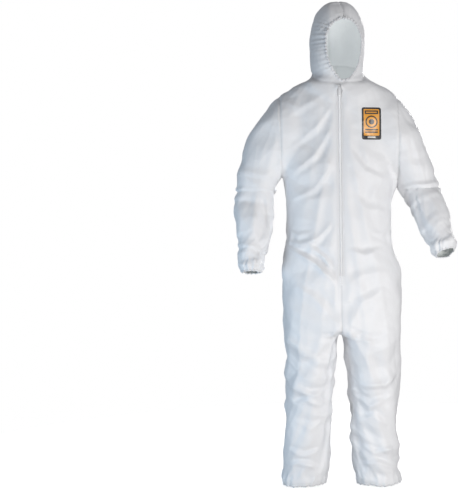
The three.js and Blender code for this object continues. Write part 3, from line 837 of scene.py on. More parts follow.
def crumple(p):
    """Faint broad undulation, as stiff film has."""
    x, y, z = (p * 21.0).T
    broad = np.sin(x * 1.3 + 1.7 * np.sin(z * 0.9 + 0.5)) * np.cos(z * 1.1 + 1.3 * np.sin(y * 1.2))
    x, y, z = (p * 47.0).T
    close = np.sin(x + 2.1 * np.sin(y * 0.8 + z * 0.6)) * np.sin(z * 0.9 + 1.9 * np.sin(x * 0.7))
    return 0.0012 * broad + 0.0005 * close


def film_folds(p):
    """Flat facets with firm ridges between them, as stiff laminate crumples: slanted tent waves that come and go."""
    r = np.random.default_rng(23)
    out = np.zeros(len(p))
    for k in range(14):
        angle = r.uniform(0.15, 1.25) * (1 if k % 2 else -1)
        turn = r.uniform(0, math.pi)
        d = np.array([math.cos(angle) * math.cos(turn), math.cos(angle) * math.sin(turn), math.sin(angle)])
        length = r.uniform(0.06, 0.15)
        e, g = r.normal(size=3) * 9, r.normal(size=3) * 7
        t = p @ d + 0.016 * np.sin(p @ e + r.uniform(0, 6)) + 0.006 * np.sin(p @ (e * 2.7))
        t = t / length + r.uniform(0, 1)
        tent = 1 - 4 * np.abs(t - np.floor(t) - 0.5)
        shown = smoothstep(np.sin(p @ g + r.uniform(0, 6)), 0.1, 0.9)
        out += tent * shown * length
    return out


def shape_folds(ob):
    """Moves the settled cloth by its creases, gathers and seams, all placed on the form as it was cut."""
    mesh = ob.data
    p = as_cut(mesh)
    co, n = coordinates(mesh), normals(mesh)
    zipped = beside_zip(p)
    # the slider and its hanging tab run over the cloth just below the zip too
    run = (p[:, 1] < -0.05) & (p @ NECK < 0) & (p[:, 2] > ZIP_LOW - 0.06)
    calm = np.where(run, smoothstep(np.abs(p[:, 0]), 0.012, 0.04), 1.0)
    hooded = smoothstep(p @ NECK, -0.02, 0.01)
    arms = in_sleeves(p)
    move = np.zeros(len(p))
    for face, path, width, depth in CREASES:
        strength = 0.85 if path[0][1] > WAIST_Z else 1.1
        move += np.where(arms, 0, crease(p, path, width, depth * strength, face))
    move += arm_creases(p)
    legs = smoothstep(-p[:, 2], -CROTCH_Z - 0.05, -CROTCH_Z + 0.06)
    film = film_folds(p) * np.where(arms, 0.021, 0.014 + 0.010 * legs) * (1 - 0.45 * hooded)
    film *= 1 + 0.35 * smoothstep(-p[:, 0], -0.01, 0.06)
    move = move * (1 - hooded) + crumple(p) * (1 - 0.5 * hooded) + film
    across = p @ ACROSS_HOOD
    behind = smoothstep(-(p @ OUT_OF_HOOD), -0.01, 0.05) * hooded * (1 - smoothstep(p[:, 2], 0.17, 0.25))
    upright = 0.0040 * np.sin(across * 95 + 1.4 * wander(31, p[:, 2] * 14))
    move += behind * (upright * smoothstep(p @ NECK, 0.0, 0.05))
    move *= calm
    far = seam_distance(p)
    pucker = 1 + 0.22 * np.sin(p[:, 2] * 260 + p[:, 1] * 210 + 2 * wander(21, p[:, 2] * 30))
    move -= np.where(zipped & (np.abs(p[:, 0]) < 0.03), 0, 0.0013 * np.exp(-((far / 0.0035) ** 2)) * pucker)
    move += 0.0007 * np.exp(-(((far - 0.008) / 0.004) ** 2)) * calm
    move += gathers(p)
    # beside the zip the cloth lies down onto its tape
    move -= np.where(run, 0.0017 * (1 - smoothstep(np.abs(p[:, 0]), 0.011, 0.024)), 0)
    # and the chin stays clear of the tab when it is swung up
    chin = smoothstep(p @ NECK, -0.008, 0.004) * (p[:, 1] < -0.05)
    move -= 0.004 * chin * (1 - smoothstep(np.abs(p[:, 0]), 0.012, 0.035))
    co += n * move[:, None]
    set_coordinates(mesh, co)
    attribute = mesh.attributes.new("seam", "FLOAT", "POINT")
    attribute.data.foreach_set("value", far.astype(np.float32))


# ---------------------------------------------------------------------------------------------------------------
# The cloth, settled and cut into its panels
# ---------------------------------------------------------------------------------------------------------------
def make_cloth():
    ob = whole_form("cloth", 0.0, 0.009, 6)
    mark_panels(ob)
    store(ob.data, "cut", coordinates(ob.data))
    set_coordinates(ob.data, fuller_on_the_left(coordinates(ob.data)))
    hang(ob)
    finer = ob.modifiers.new("Subdivision", "SUBSURF")
    finer.levels = finer.render_levels = 1
    apply_modifiers(ob)
    shape_folds(ob)
    return ob


class Cloth:
    """The settled cloth as arrays, for the pieces that follow its edges and its surface."""

    def __init__(self, ob):
        mesh = ob.data
        self.object = ob
        self.co = coordinates(mesh)
        self.cut = as_cut(mesh)
        self.region = np.empty(len(mesh.polygons), int)
        mesh.attributes["region"].data.foreach_get("value", self.region)
        loops = np.empty(len(mesh.loops), int)
        mesh.loops.foreach_get("vertex_index", loops)
        self.quads = loops.reshape(-1, 4)
        kept = self.quads[self.region < FACE_HOLE]
        corners = self.co[kept]
        across = np.cross(corners[:, 2] - corners[:, 0], corners[:, 3] - corners[:, 1])
        self.normal = np.zeros_like(self.co)
        middle = np.zeros_like(self.co)
        count = np.zeros(len(self.co))
        for k in range(4):
            np.add.at(self.normal, kept[:, k], across)
            np.add.at(middle, kept[:, k], corners.mean(axis=1))
            np.add.at(count, kept[:, k], 1)
        self.normal /= np.maximum(np.linalg.norm(self.normal, axis=1), 1e-12)[:, None]
        self.inward = middle / np.maximum(count, 1)[:, None] - self.co
        store(mesh, "whole_normal", self.normal)
        rows = [tuple(q) for q in self.quads[self.region < FACE_HOLE].tolist()]
        self.tree = BVHTree.FromPolygons([tuple(p) for p in self.co.tolist()], rows)

    def edge(self, hole, where):
        """The vertices round an opening, in order, starting anywhere."""
        after = {}
        inside = self.region == hole
        centres = self.co[self.quads].mean(axis=1)
        chosen = self.quads[inside & where(centres)]
        pairs = np.stack([chosen, np.roll(chosen, -1, axis=1)], axis=2).reshape(-1, 2)
        known = set(map(tuple, pairs.tolist()))
        for a, b in pairs.tolist():
            if (b, a) not in known:
                after[a] = b
        best = []
        left = set(after)
        while left:
            start = min(left)
            loop, v = [], start
            while v in left:
                left.discard(v)
                loop.append(v)
                v = after.get(v)
            if len(loop) > len(best):
                best = loop
        return np.array(best)


def new_piece(name, bm, *materials):
    ob = mesh_object(name, bm)
    for material in materials:
        ob.data.materials.append(material)
    ob.data.polygons.foreach_set("use_smooth", np.ones(len(ob.data.polygons), bool))
    ob.data.update()
    return ob


def thicken(ob, thickness, lined=False):
    """Gives a sheet its thickness, inwards; a lined one has its second material inside."""
    shell = ob.modifiers.new("Solidify", "SOLIDIFY")
    shell.thickness = thickness
    shell.offset = -1
    if lined:
        shell.material_offset = 1
        shell.material_offset_rim = 0
    apply_modifiers(ob)


def drop(mesh, *names):
    for name in names:
        mesh.attributes.remove(mesh.attributes[name])


def face_front(bm):
    """Turns an open sheet's faces to look out of the suit's front."""
    bmesh.ops.recalc_face_normals(bm, faces=bm.faces)
    if sum(f.normal.y for f in bm.faces) > 0:
        bmesh.ops.reverse_faces(bm, faces=bm.faces)


def panel(cloth, name, region, outside, inside):
    """One panel of the suit as a thin closed shell, its outer face shaded as part of the whole cloth."""
    bm = bmesh.new()
    bm.from_mesh(cloth.object.data)
    layer = bm.faces.layers.int["region"]
    bmesh.ops.delete(bm, geom=[f for f in bm.faces if f[layer] != region], context="FACES")
    ob = new_piece(name, bm, outside, inside)
    thicken(ob, CLOTH_THICK, lined=True)
    mesh = ob.data
    whole, own = stored(mesh, "whole_normal"), normals(mesh)
    turned = np.where(np.sum(whole * own, axis=1) < 0, -1.0, 1.0)[:, None]
    mesh.normals_split_custom_set_from_vertices((whole * turned).tolist())
    drop(mesh, "whole_normal", "cut", "region")
    return ob


def resample(points, others, spacing):
    """A closed line of points at an even spacing, with other values carried along."""
    ends = np.vstack([points, points[:1]])
    lengths = np.concatenate([[0], np.cumsum(np.linalg.norm(np.diff(ends, axis=0), axis=1))])
    count = max(24, int(round(lengths[-1] / spacing)))
    at = np.arange(count) / count * lengths[-1]
    out = []
    for values in (points, *others):
        closed = np.vstack([values, values[:1]])
        out.append(np.stack([np.interp(at, lengths, closed[:, k]) for k in range(3)], axis=1))
    return out, at, lengths[-1]


def even_out(values, rounds):
    for _ in range(rounds):
        values = values * 0.5 + (np.roll(values, 1, axis=0) + np.roll(values, -1, axis=0)) * 0.25
    return values


def hem(cloth, name, loop, material, width, thick, period, pucker, set_in=0.35, seed=1, spacing=0.0016):
    """A turned-in edge with elastic in it: a soft flattened roll that follows the edge of the cloth and gathers."""
    (line, out, inward), at, total = resample(cloth.co[loop], (cloth.normal[loop], cloth.inward[loop]), spacing)
    line = even_out(line, 3)
    along = even_out(np.roll(line, -1, axis=0) - np.roll(line, 1, axis=0), 2)
    along /= np.linalg.norm(along, axis=1)[:, None]
    out = even_out(out, 4)
    out -= along * np.sum(out * along, axis=1)[:, None]
    out /= np.linalg.norm(out, axis=1)[:, None]
    inward = even_out(inward, 4)
    inward -= along * np.sum(inward * along, axis=1)[:, None]
    inward -= out * np.sum(inward * out, axis=1)[:, None]
    inward /= np.linalg.norm(inward, axis=1)[:, None]
    turns = max(3, round(total / period))
    share = at / total
    phase = share * 2 * np.pi * turns + 1.6 * wander(seed, share * 2 * np.pi * 3) * np.sin(share * np.pi)
    wave = np.sin(phase)
    fine = np.sin(phase * 2 + 1.3)
    swell = 1 + 0.22 * wave + 0.10 * fine
    lift = pucker * (0.6 * wave + 0.25 * fine)
    side = pucker * 0.7 * np.sin(phase + 1.1)
    bm = bmesh.new()
    rows, corners = [], 14
    for k in range(corners):
        a = k / corners * 2 * np.pi
        u, v = math.cos(a), math.sin(a)
        u = math.copysign(abs(u) ** 0.8, u) * width / 2
        v = math.copysign(abs(v) ** 0.9, v) * thick / 2
        p = line + inward * (u + width * set_in + side)[:, None] + out * (v * swell + lift - thick * 0.12)[:, None]
        rows.append([bm.verts.new(q) for q in p])
    skin(bm, rows + rows[:1], capped=False)
    bmesh.ops.recalc_face_normals(bm, faces=bm.faces)
    return new_piece(name, bm, material)


def stitches(name, points, out, material, length=0.0032, gap=0.0014, thread=0.00032):
    """A row of short thread lengths along a closed or open line of points."""
    bm = bmesh.new()
    step = np.concatenate([[0], np.cumsum(np.linalg.norm(np.diff(points, axis=0), axis=1))])
    for start in np.arange(0.001, step[-1] - length, length + gap):
        row = []
        for t in np.linspace(0, 1, 4):
            s = start + t * length
            p = np.array([np.interp(s, step, points[:, k]) for k in range(3)])
            n = np.array([np.interp(s, step, out[:, k]) for k in range(3)])
            row.append(p + n / np.linalg.norm(n) * (math.sin(t * math.pi) * thread * 1.5 - thread * 0.3))
        rings = []
        for i, p in enumerate(row):
            d = row[min(i + 1, 3)] - row[max(i - 1, 0)]
            d /= np.linalg.norm(d)
            u = np.cross(d, (0.3, 0.2, 0.93))
            u /= np.linalg.norm(u)
            v = np.cross(d, u)
            rings.append([bm.verts.new(p + (u * math.cos(a) + v * math.sin(a)) * thread)
                          for a in (0.3, 1.87, 3.44, 5.01)])
        skin(bm, rings)
    bmesh.ops.recalc_face_normals(bm, faces=bm.faces)
    return new_piece(name, bm, material)


# ---------------------------------------------------------------------------------------------------------------
# Finishes
# ---------------------------------------------------------------------------------------------------------------
class Finish:
    """A material built from named nodes, with the shader's plain values set on its own sockets."""

    def __init__(self, name, **values):
        self.material = bpy.data.materials.new(name)
        self.material.use_nodes = True
        self.tree = self.material.node_tree
        self.shader = self.tree.nodes["Principled BSDF"]
        for key, value in values.items():
            self.shader.inputs[key.replace("_", " ")].default_value = value
        self.place = self.node("ShaderNodeTexCoord").outputs["Object"]

    def node(self, kind, inputs=None, **settings):
        made = self.tree.nodes.new(kind)
        for key, value in settings.items():
            setattr(made, key, value)
        for key, value in (inputs or {}).items():
            self.feed(made.inputs[key], value)
        return made

    def feed(self, socket, value):
        if isinstance(value, bpy.types.NodeSocket):
            self.tree.links.new(value, socket)
        else:
            socket.default_value = value

    def maths(self, how, a, b=0.0, c=0.0):
        made = self.node("ShaderNodeMath", operation=how)
        for socket, value in zip(made.inputs, (a, b, c)):
            self.feed(socket, value)
        return made.outputs[0]

    def noise(self, scale, detail=3.0, rough=0.5, where=None, stretch=None):
        where = where or self.place
        if stretch:
            where = self.node("ShaderNodeMapping", {"Vector": where, "Scale": stretch}).outputs[0]
        return self.node("ShaderNodeTexNoise", {"Vector": where, "Scale": scale, "Detail": detail,
                                                "Roughness": rough}).outputs["Fac"]

    def mix(self, amount, a, b):
        made = self.node("ShaderNodeMix", data_type="RGBA")
        self.feed(made.inputs[0], amount)
        self.feed(made.inputs[6], a)
        self.feed(made.inputs[7], b)
        return made.outputs[2]

    def range(self, value, low_in, high_in, low_out, high_out):
        return self.node("ShaderNodeMapRange", {"Value": value, "From Min": low_in, "From Max": high_in,
                                                "To Min": low_out, "To Max": high_out}).outputs[0]

    def bump(self, height, distance, strength=1.0, after=None):
        made = self.node("ShaderNodeBump", {"Height": height, "Distance": distance, "Strength": strength})
        if after:
            self.feed(made.inputs["Normal"], after)
        return made.outputs[0]

    def use(self, **links):
        for key, value in links.items():
            self.feed(self.shader.inputs[key.replace("_", " ")], value)
        return self.material


def laminate(name, light, dark, inside, painted_glow=0.0):
    """Smooth white film on a spun nonwoven: a faint field of embossed points, fine crinkle and a soft gloss."""
    f = Finish(name, Sheen_Weight=0.12, Sheen_Roughness=0.4, Specular_IOR_Level=0.42)
    # painted light: a constant emission stands in for daylight coming through the thin cloth, and the inside of the
    # hood is given the most of it
    f.shader.inputs["Emission Color"].default_value = (0.93, 0.97, 1.0, 1)
    f.shader.inputs["Emission Strength"].default_value = painted_glow
    cells = f.node("ShaderNodeTexVoronoi", {"Vector": f.place, "Scale": 560.0, "Randomness": 0.25})
    dots = f.range(cells.outputs["Distance"], 0.10, 0.34, 0.0, 1.0)
    fibres = f.noise(900.0, 4.0, 0.65, stretch=(1.0, 1.0, 0.35))
    crinkle = f.noise(58.0, 5.0, 0.55)
    broad = f.noise(6.5, 3.0, 0.5)
    seam = f.node("ShaderNodeAttribute", attribute_name="seam").outputs["Fac"]
    seam_painted_shade = f.range(seam, 0.0008, 0.0042, 1.0, 0.0)
    shade = f.mix(f.range(broad, 0.3, 0.7, 0.0, 1.0), light, dark)
    shade = f.mix(f.maths("MULTIPLY", f.range(fibres, 0.35, 0.65, 0.0, 1.0), 0.10 if inside else 0.05), shade,
                  tuple(0.86 * c for c in dark[:3]) + (1,))
    # painted shade: the colour is darkened along the sewn seams, where their grooves lie in shade
    shade = f.mix(f.maths("MULTIPLY", seam_painted_shade, 0.30), shade, tuple(0.66 * c for c in dark[:3]) + (1,))
    rough = f.range(crinkle, 0.3, 0.7, 0.50 if inside else 0.40, 0.66 if inside else 0.55)
    height = f.bump(dots, 0.00005, 0.8)
    height = f.bump(fibres, 0.00008, 0.5 if inside else 0.25, height)
    height = f.bump(crinkle, 0.0011, 0.55, height)
    return f.use(Base_Color=shade, Roughness=rough, Normal=height)


def webbing(name, light, dark, pitch, rib):
    """Narrow woven goods: elastic, tape or label, with its threads across and along."""
    f = Finish(name, Sheen_Weight=0.2, Sheen_Roughness=0.5)

    def threads(spacing, distortion, detail, direction):
        settings = {"Vector": f.place, "Scale": 0.5 / spacing / math.pi * 3.1, "Distortion": distortion,
                    "Detail": detail}
        return f.node("ShaderNodeTexWave", settings, wave_type="BANDS", bands_direction=direction).outputs["Fac"]

    weave = f.maths("MULTIPLY", threads(pitch, 0.6, 2.0, "Z"), threads(rib, 0.5, 1.0, "X"))
    soil = f.noise(140.0, 4.0, 0.6)
    shade = f.mix(weave, dark, light)
    shade = f.mix(f.maths("MULTIPLY", soil, 0.12), shade, tuple(0.8 * c for c in dark[:3]) + (1,))
    height = f.bump(weave, 0.00022, 0.8)
    height = f.bump(f.noise(1500.0, 2.0), 0.00004, 0.5, height)
    return f.use(Base_Color=shade, Roughness=f.range(soil, 0.3, 0.7, 0.62, 0.82), Normal=height)


def moulded(name, colour, rough, painted_glow=0.0):
    """Small moulded nylon parts, with a satin skin; fine coils get painted light, a constant emission that lightens
    the shade between their turns.
    """
    f = Finish(name, Specular_IOR_Level=0.5)
    f.shader.inputs["Emission Color"].default_value = colour
    f.shader.inputs["Emission Strength"].default_value = painted_glow
    grain = f.noise(1800.0, 3.0, 0.6)
    cloud = f.noise(160.0, 2.0, 0.5)
    shade = f.mix(f.range(cloud, 0.3, 0.7, 0.0, 1.0), colour, tuple(0.94 * c for c in colour[:3]) + (1,))
    return f.use(Base_Color=shade, Roughness=f.range(grain, 0.3, 0.7, rough - 0.06, rough + 0.08),
                 Normal=f.bump(grain, 0.00003, 0.5))


BADGE_WIDE = high("chest_badge").x - low("chest_badge").x
BADGE_TALL = high("chest_badge").z - low("chest_badge").z
BADGE_X = (high("chest_badge").x + low("chest_badge").x) / 2 + 0.003
BADGE_Z = (high("chest_badge").z + low("chest_badge").z) / 2 - 0.006


def badge_print():
    """Printed film: a dark edge, an orange field, and plain bars and a dot on it."""
    f = Finish("badge_print", Coat_Weight=0.25, Coat_Roughness=0.25)
    place = f.node("ShaderNodeUVMap", uv_map="badge").outputs[0]
    split = f.node("ShaderNodeSeparateXYZ", {"Vector": place})
    x, z = split.outputs[0], split.outputs[1]

    def rounded(cx, cz, half_x, half_z, radius):
        """1 inside a rounded rectangle and 0 outside, in millimetres."""
        over = []
        for at, centre, half in ((x, cx, half_x), (z, cz, half_z)):
            away = f.maths("ABSOLUTE", f.maths("SUBTRACT", at, centre))
            past = f.maths("MAXIMUM", f.maths("SUBTRACT", away, half - radius), 0.0)
            over.append(f.maths("MULTIPLY", past, past))
        far = f.maths("SQRT", f.maths("ADD", *over))
        return f.range(far, radius - 0.12, radius + 0.12, 1.0, 0.0)

    ink, orange, pale = (0.022, 0.021, 0.024, 1), (0.88, 0.38, 0.03, 1), (0.80, 0.78, 0.74, 1)
    shade = ink
    for height, half_x, half_z, radius, colour in (
        (4.0, 27.5, 46.0, 3.5, orange),  # the field
        (39.0, 23.5, 6.4, 1.6, ink),  # the bar across its top
        (39.0, 19.0, 1.9, 0.9, orange),
        (6.0, 21.5, 21.5, 21.5, ink),  # the rings and the dot
        (6.0, 17.0, 17.0, 17.0, orange),
        (6.0, 9.6, 9.6, 9.6, ink),
        (-21.5, 23.0, 2.4, 0.8, ink),  # the two bars below them
        (-30.0, 23.0, 2.4, 0.8, ink),
        (-47.5, 14.0, 2.6, 1.2, pale),
    ):
        shade = f.mix(rounded(0, height, half_x, half_z, radius), shade, colour)
    wear = f.noise(420.0, 4.0, 0.6)
    shade = f.mix(f.maths("MULTIPLY", f.range(wear, 0.55, 0.75, 0.0, 1.0), 0.14), shade, pale)
    return f.use(Base_Color=shade, Roughness=f.range(wear, 0.3, 0.7, 0.34, 0.5),
                 Normal=f.bump(f.noise(90.0, 3.0), 0.0004, 0.4))


OUTER = laminate("laminate_outside", (0.86, 0.868, 0.885, 1), (0.835, 0.845, 0.865, 1), False)
# painted light on the insides: each carries a constant emission standing in for light through the cloth, most in the
# hood, less in the body, least in the legs and sleeves, and the hood and body insides are also painted a little
# lighter; lit copies of one inside laminate
LIMB_INSIDE_PAINTED_GLOW = laminate("laminate_inside", (0.76, 0.785, 0.775, 1), (0.72, 0.75, 0.738, 1), True, 0.04)
BODY_INSIDE_PAINTED_GLOW = laminate("body_inside", (0.77, 0.79, 0.785, 1), (0.73, 0.755, 0.75, 1), True, 0.14)
HOOD_INSIDE_PAINTED_GLOW = laminate("hood_inside", (0.78, 0.795, 0.795, 1), (0.73, 0.75, 0.75, 1), True, 0.17)
ELASTIC = webbing("covered_elastic", (0.86, 0.86, 0.85, 1), (0.66, 0.67, 0.66, 1), 0.0009, 0.0013)
TAPE = webbing("zip_tape_weave", (0.91, 0.91, 0.92, 1), (0.84, 0.845, 0.855, 1), 0.0007, 0.0007)
NYLON = moulded("moulded_nylon", (0.86, 0.86, 0.87, 1), 0.36)
# painted light: the coil's constant emission lightens the shade that its turns cast on each other
COIL_PAINTED_GLOW = moulded("coil_filament", (0.92, 0.925, 0.935, 1), 0.34, 0.16)
SATIN = webbing("label_satin", (0.90, 0.90, 0.90, 1), (0.80, 0.80, 0.81, 1), 0.0004, 0.0005)
THREAD = webbing("sewing_thread", (0.88, 0.88, 0.89, 1), (0.74, 0.75, 0.77, 1), 0.0003, 0.0003)
PRINT = badge_print()


# ---------------------------------------------------------------------------------------------------------------
# The zip
# ---------------------------------------------------------------------------------------------------------------
def rounded_copy(node, name, body, width, material):
    """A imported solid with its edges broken."""
    bm = bmesh.new()
    bm.from_mesh(bpy.data.objects[node].data)
    bmesh.ops.remove_doubles(bm, verts=bm.verts, dist=1e-6)
    bmesh.ops.dissolve_limit(bm, angle_limit=math.radians(2), verts=bm.verts, edges=bm.edges)
    sharp = [e for e in bm.edges if len(e.link_faces) == 2 and e.calc_face_angle(0) > math.radians(30)]
    bmesh.ops.bevel(bm, geom=sharp, offset=width, affect="EDGES", segments=3, profile=0.5, material=-1,
                    clamp_overlap=True)
    bmesh.ops.triangulate(bm, faces=[f for f in bm.faces if len(f.verts) > 4])
    ob = new_piece(name, bm, material)
    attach(ob, body)
    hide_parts(node)
    return ob


def coil(side):
    """One side of the closed zip: a filament wound flat, its turns reaching between those of the other side."""
    name = "left" if side > 0 else "right"
    bottom, top = low(f"zip_coil_{name}").z, high(f"zip_coil_{name}").z
    pitch, steps, wire = 0.0014, 8, 0.00036
    turns = int((top - bottom - 0.002) / pitch)
    start = bottom + 0.0008 + (pitch / 2 if side > 0 else 0)
    t = np.arange(turns * steps + 1) / steps
    a = t * 2 * np.pi
    z = start + t * pitch
    middle = front_y(z) + 0.0018
    x = side * (0.0012 - np.cos(a) * 0.0018)
    y = middle + np.sin(a) * 0.00085
    line = np.stack([x, y, z + np.sin(a) * 0.0001], axis=1)
    along = np.gradient(line, axis=0)
    along /= np.linalg.norm(along, axis=1)[:, None]
    u = np.cross(along, np.array([0, 0, 1.0]))
    u /= np.linalg.norm(u, axis=1)[:, None]
    v = np.cross(along, u)
    bm = bmesh.new()
    rings = []
    for i in range(len(line)):
        rings.append([bm.verts.new(line[i] + (u[i] * math.cos(b) + v[i] * math.sin(b)) * wire)
                      for b in (0.0, 1.571, 3.142, 4.712)])
    skin(bm, rings)
    bmesh.ops.recalc_face_normals(bm, faces=bm.faces)
    ob = new_piece(f"zip_coil_{name}_wound", bm, COIL_PAINTED_GLOW)
    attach(ob, "torso")
    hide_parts(f"zip_coil_{name}")
    return ob


def tape(side):
    """The woven tape that the filament is sewn to, lying along the inside of the front edge."""
    name = "left" if side > 0 else "right"
    bm = bmesh.new()
    tall = ZIP_TOP - ZIP_LOW
    bmesh.ops.create_grid(bm, x_segments=14, y_segments=160, size=0.5)
    for v in bm.verts:
        across = lerp(0.0003, 0.0226, v.co.x + 0.5)
        z = ZIP_LOW + (v.co.y + 0.5) * tall
        rise = float(smoothstep(np.array(across), 0.0032, 0.0050))
        v.co = (side * across, front_y(z) + 0.0031 - 0.0008 * rise, z)
    face_front(bm)
    ob = new_piece(f"zip_tape_{name}_woven", bm, TAPE)
    thicken(ob, TAPE_THICK)
    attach(ob, "torso")
    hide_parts(f"zip_tape_{name}")


def zip_parts(cloth):
    for side in (1, -1):
        coil(side)
        name = "left" if side > 0 else "right"
        tape(side)
        rounded_copy(f"zip_top_stop_{name}", f"zip_stop_{name}", "torso", 0.0004, NYLON)
        z = np.arange(ZIP_LOW + 0.004, ZIP_TOP - 0.006, 0.002)
        for row, x in (("edge", 0.0126), ("inner", 0.0048)):
            if row == "edge":
                hits = [cloth.tree.ray_cast(Vector((side * x, -0.5, float(k))), Vector((0, 1, 0))) for k in z]
                line = np.array([h[0] if h[0] else (side * x, front_y(k), k) for h, k in zip(hits, z)])
            else:
                line = np.stack([np.full_like(z, side * x), front_y(z) + 0.0021, z], axis=1)
            out = np.tile((0.0, -1.0, 0.04), (len(line), 1))
            row = stitches(f"zip_stitches_{row}_{name}", line, out, THREAD)
            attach(row, "torso")
    rounded_copy("zip_bottom_stop", "zip_stop_bottom", "torso", 0.0005, NYLON)
    rounded_copy("zip_slider", "zip_slider_body", "slider", 0.00035, NYLON)
    rounded_copy("zip_pull_tab", "zip_pull", "pull_tab", 0.0004, NYLON)


# ---------------------------------------------------------------------------------------------------------------
# The badge, and the elastic inside the waist
# ---------------------------------------------------------------------------------------------------------------
def badge(cloth):
    bm = bmesh.new()
    bmesh.ops.create_grid(bm, x_segments=34, y_segments=56, size=0.5)
    radius = 0.007
    layer = bm.loops.layers.uv.new("badge")
    for v in bm.verts:
        # pull the corners of the grid round
        x, z = v.co.x * BADGE_WIDE, v.co.y * BADGE_TALL
        ax, az = abs(x) - (BADGE_WIDE / 2 - radius), abs(z) - (BADGE_TALL / 2 - radius)
        if ax > 0 and az > 0:
            longest = max(ax, az)
            far = math.hypot(ax, az)
            x = math.copysign(BADGE_WIDE / 2 - radius + ax * longest / far, x)
            z = math.copysign(BADGE_TALL / 2 - radius + az * longest / far, z)
        v.co = (x, 0, z)
    for face in bm.faces:
        for loop in face.loops:
            loop[layer].uv = (loop.vert.co.x * 1000, loop.vert.co.z * 1000)
    depth = {}
    for v in bm.verts:
        hit = cloth.tree.ray_cast(Vector((BADGE_X + v.co.x, -0.5, BADGE_Z + v.co.z)), Vector((0, 1, 0)))
        depth[v] = hit[0].y if hit[0] else -0.09
    for v in bm.verts:
        v.co = (BADGE_X + v.co.x, depth[v] - 0.0005, BADGE_Z + v.co.z)
    face_front(bm)
    ob = new_piece("badge", bm, PRINT)
    thicken(ob, BADGE_THICK)
    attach(ob, "torso")
    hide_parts("chest_badge")
    return ob


def waist_band(cloth):
    """The elastic sewn flat inside the back of the waist."""
    bm = bmesh.new()
    bm.from_mesh(cloth.object.data)
    region = bm.faces.layers.int["region"]
    chosen = (100, 110)

    def away(f):
        c = f.calc_center_median()
        return f[region] not in chosen or abs(c.z - WAIST_Z) > 0.0125 or c.y < 0.012

    bmesh.ops.delete(bm, geom=[f for f in bm.faces if away(f)], context="FACES")
    whole = bm.verts.layers.float_vector["whole_normal"]
    for v in bm.verts:
        v.co -= Vector(v[whole]) * 0.0008
        v.co.z = WAIST_Z + max(-0.011, min(0.011, v.co.z - WAIST_Z))
    ob = new_piece("waist_band", bm, ELASTIC)
    thicken(ob, BAND_THICK)
    drop(ob.data, "whole_normal", "cut", "region", "seam")
    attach(ob, "torso")
    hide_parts("waist_elastic")
    return ob


# ---------------------------------------------------------------------------------------------------------------
# The camera and the room
# ---------------------------------------------------------------------------------------------------------------
def place_camera():
    data = bpy.data.cameras.new("camera")
    camera = bpy.data.objects.new("camera", data)
    scene.collection.objects.link(camera)
    scene.camera = camera
    distance, azimuth, height = 4.5, math.radians(-3), -0.44
    view_tall = 1.704
    data.lens = 36 * distance / view_tall
    data.sensor_width = 36
    back = Vector((math.sin(azimuth), -math.cos(azimuth), 0))
    aim = Vector((-0.002, -0.05, height))
    camera.location = aim + back * distance
    camera.rotation_mode = "QUATERNION"
    roll = Matrix.Rotation(math.radians(-0.5), 3, "Z")
    camera.rotation_quaternion = ((-back).to_track_quat("-Z", "Y").to_matrix() @ roll).to_quaternion()
    data.shift_x = -0.2255
    data.shift_y = -0.0915
    data.clip_start, data.clip_end = 0.05, 60


def light(name, place, aim, size, power, colour):
    data = bpy.data.lights.new(name, "AREA")
    data.shape = "DISK"
    data.size = size
    data.energy = power
    data.color = colour
    ob = bpy.data.objects.new(name, data)
    ob.visible_camera = False
    scene.collection.objects.link(ob)
    ob.location = place
    ob.rotation_mode = "QUATERNION"
    ob.rotation_quaternion = (Vector(aim) - Vector(place)).to_track_quat("-Z", "Y")
    return ob


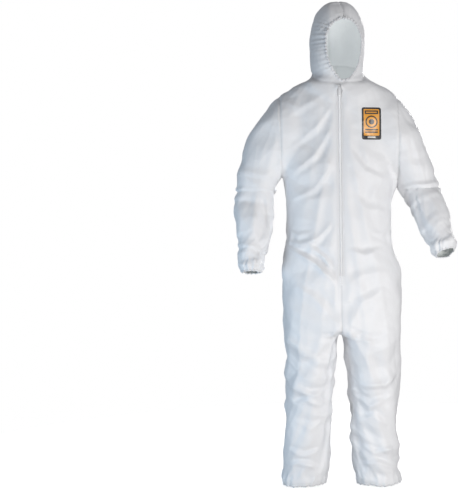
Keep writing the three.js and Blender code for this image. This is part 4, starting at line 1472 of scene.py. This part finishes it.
def room():
    bm = bmesh.new()
    bmesh.ops.create_circle(bm, cap_ends=True, segments=128, radius=1.8)
    bmesh.ops.translate(bm, verts=bm.verts, vec=(0, 0, low("left_ankle_elastic").z - 0.006))
    f = Finish("studio_floor")
    cloud = f.noise(0.8, 2.0)
    f.use(Base_Color=f.mix(cloud, (0.93, 0.93, 0.93, 1), (0.95, 0.95, 0.95, 1)),
          Roughness=f.range(cloud, 0.0, 1.0, 0.8, 0.9))
    f.shader.inputs["Emission Color"].default_value = (1, 1, 1, 1)
    f.shader.inputs["Emission Strength"].default_value = 0.7
    floor = new_piece("floor", bm, f.material)
    floor.visible_diffuse = floor.visible_glossy = False  # it lights nothing, so that the hems keep their shade
    world = bpy.data.worlds.new("studio")
    scene.world = world
    world.use_nodes = True
    tree = world.node_tree
    tree.nodes.clear()
    seen = tree.nodes.new("ShaderNodeBackground")
    seen.inputs[0].default_value = (1, 1, 1, 1)
    seen.inputs[1].default_value = 1.0
    lit = tree.nodes.new("ShaderNodeBackground")
    lit.inputs[0].default_value = (0.94, 0.945, 0.985, 1)
    lit.inputs[1].default_value = 0.25
    path = tree.nodes.new("ShaderNodeLightPath")
    mix = tree.nodes.new("ShaderNodeMixShader")
    out = tree.nodes.new("ShaderNodeOutputWorld")
    tree.links.new(path.outputs["Is Camera Ray"], mix.inputs[0])
    tree.links.new(lit.outputs[0], mix.inputs[1])
    tree.links.new(seen.outputs[0], mix.inputs[2])
    tree.links.new(mix.outputs[0], out.inputs[0])
    light("key", (2.35, -3.2, -0.55), (0, 0, -0.72), 0.9, 59, (1.0, 0.985, 0.972))
    light("left", (-1.7, -0.65, -1.1), (0, 0, -1.0), 1.1, 14, (0.60, 0.81, 1.0))
    light("low", (0.5, -1.9, -1.42), (0, 0, -1.36), 0.8, 21, (1.0, 0.98, 0.955))
    light("overhead", (0.4, 0.3, 2.6), (0, 0, -0.2), 1.6, 4, (1.0, 1.0, 1.0))
    light("behind", (1.4, 3.2, 0.2), (0, 0, -0.6), 1.4, 46, (1.0, 0.995, 0.985))
    scene.view_settings.view_transform = "Standard"
    scene.view_settings.look = "None"
    scene.view_settings.exposure = 0
    scene.view_settings.gamma = 1


# ---------------------------------------------------------------------------------------------------------------
# Putting the suit together
# ---------------------------------------------------------------------------------------------------------------
def build():
    place_camera()
    room()
    cloth = Cloth(make_cloth())
    for name, side in SIDES.items():
        tens = 10 if side > 0 else 0
        for face, unit in (("front", 1), ("back", 0)):
            region = 100 + tens + unit
            ob = panel(cloth, f"{name}_{face}_body", region, OUTER, BODY_INSIDE_PAINTED_GLOW)
            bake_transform(ob)
            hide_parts(f"{face}_{name}_panel", f"{name}_thigh_{face}")
            region = 200 + tens + unit
            ob = panel(cloth, f"{name}_{face}_leg", region, OUTER, LIMB_INSIDE_PAINTED_GLOW)
            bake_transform(ob)
            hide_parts(f"{name}_shin_{face}")
        region = 300 + tens
        ob = panel(cloth, f"{name}_sleeve", region, OUTER, LIMB_INSIDE_PAINTED_GLOW)
        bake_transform(ob)
        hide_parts(f"{name}_sleeve_upper", f"{name}_sleeve_lower")
        region = 400 + tens
        ob = panel(cloth, f"{name}_hood", region, OUTER, HOOD_INSIDE_PAINTED_GLOW)
        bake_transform(ob)
        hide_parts(f"hood_{name}_panel")

        def here(centres, side=side):
            return centres[:, 0] * side > 0

        ob = hem(cloth, f"{name}_wrist_hem", cloth.edge(CUFF_END, here), OUTER,
                 width=0.0075, thick=0.0034, period=0.0085, pucker=0.0007, seed=side + 5)
        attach(ob, f"{name}_forearm")
        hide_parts(f"{name}_wrist_elastic")
        ob = hem(cloth, f"{name}_ankle_hem", cloth.edge(LEG_END, here), OUTER,
                 width=0.0075, thick=0.0022, period=0.015, pucker=0.0006, seed=side + 9)
        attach(ob, f"{name}_shin")
        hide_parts(f"{name}_ankle_elastic")
    ob = hem(cloth, "face_hem", cloth.edge(FACE_HOLE, lambda c: c[:, 2] > -1), OUTER,
             width=0.0090, thick=0.0050, period=0.0125, pucker=0.0011, seed=3)
    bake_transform(ob)
    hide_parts("face_elastic")
    zip_parts(cloth)
    badge(cloth)
    waist_band(cloth)
    for slot in bpy.data.objects["neck_label"].material_slots:
        slot.material = SATIN
    bpy.data.objects.remove(cloth.object)


build()
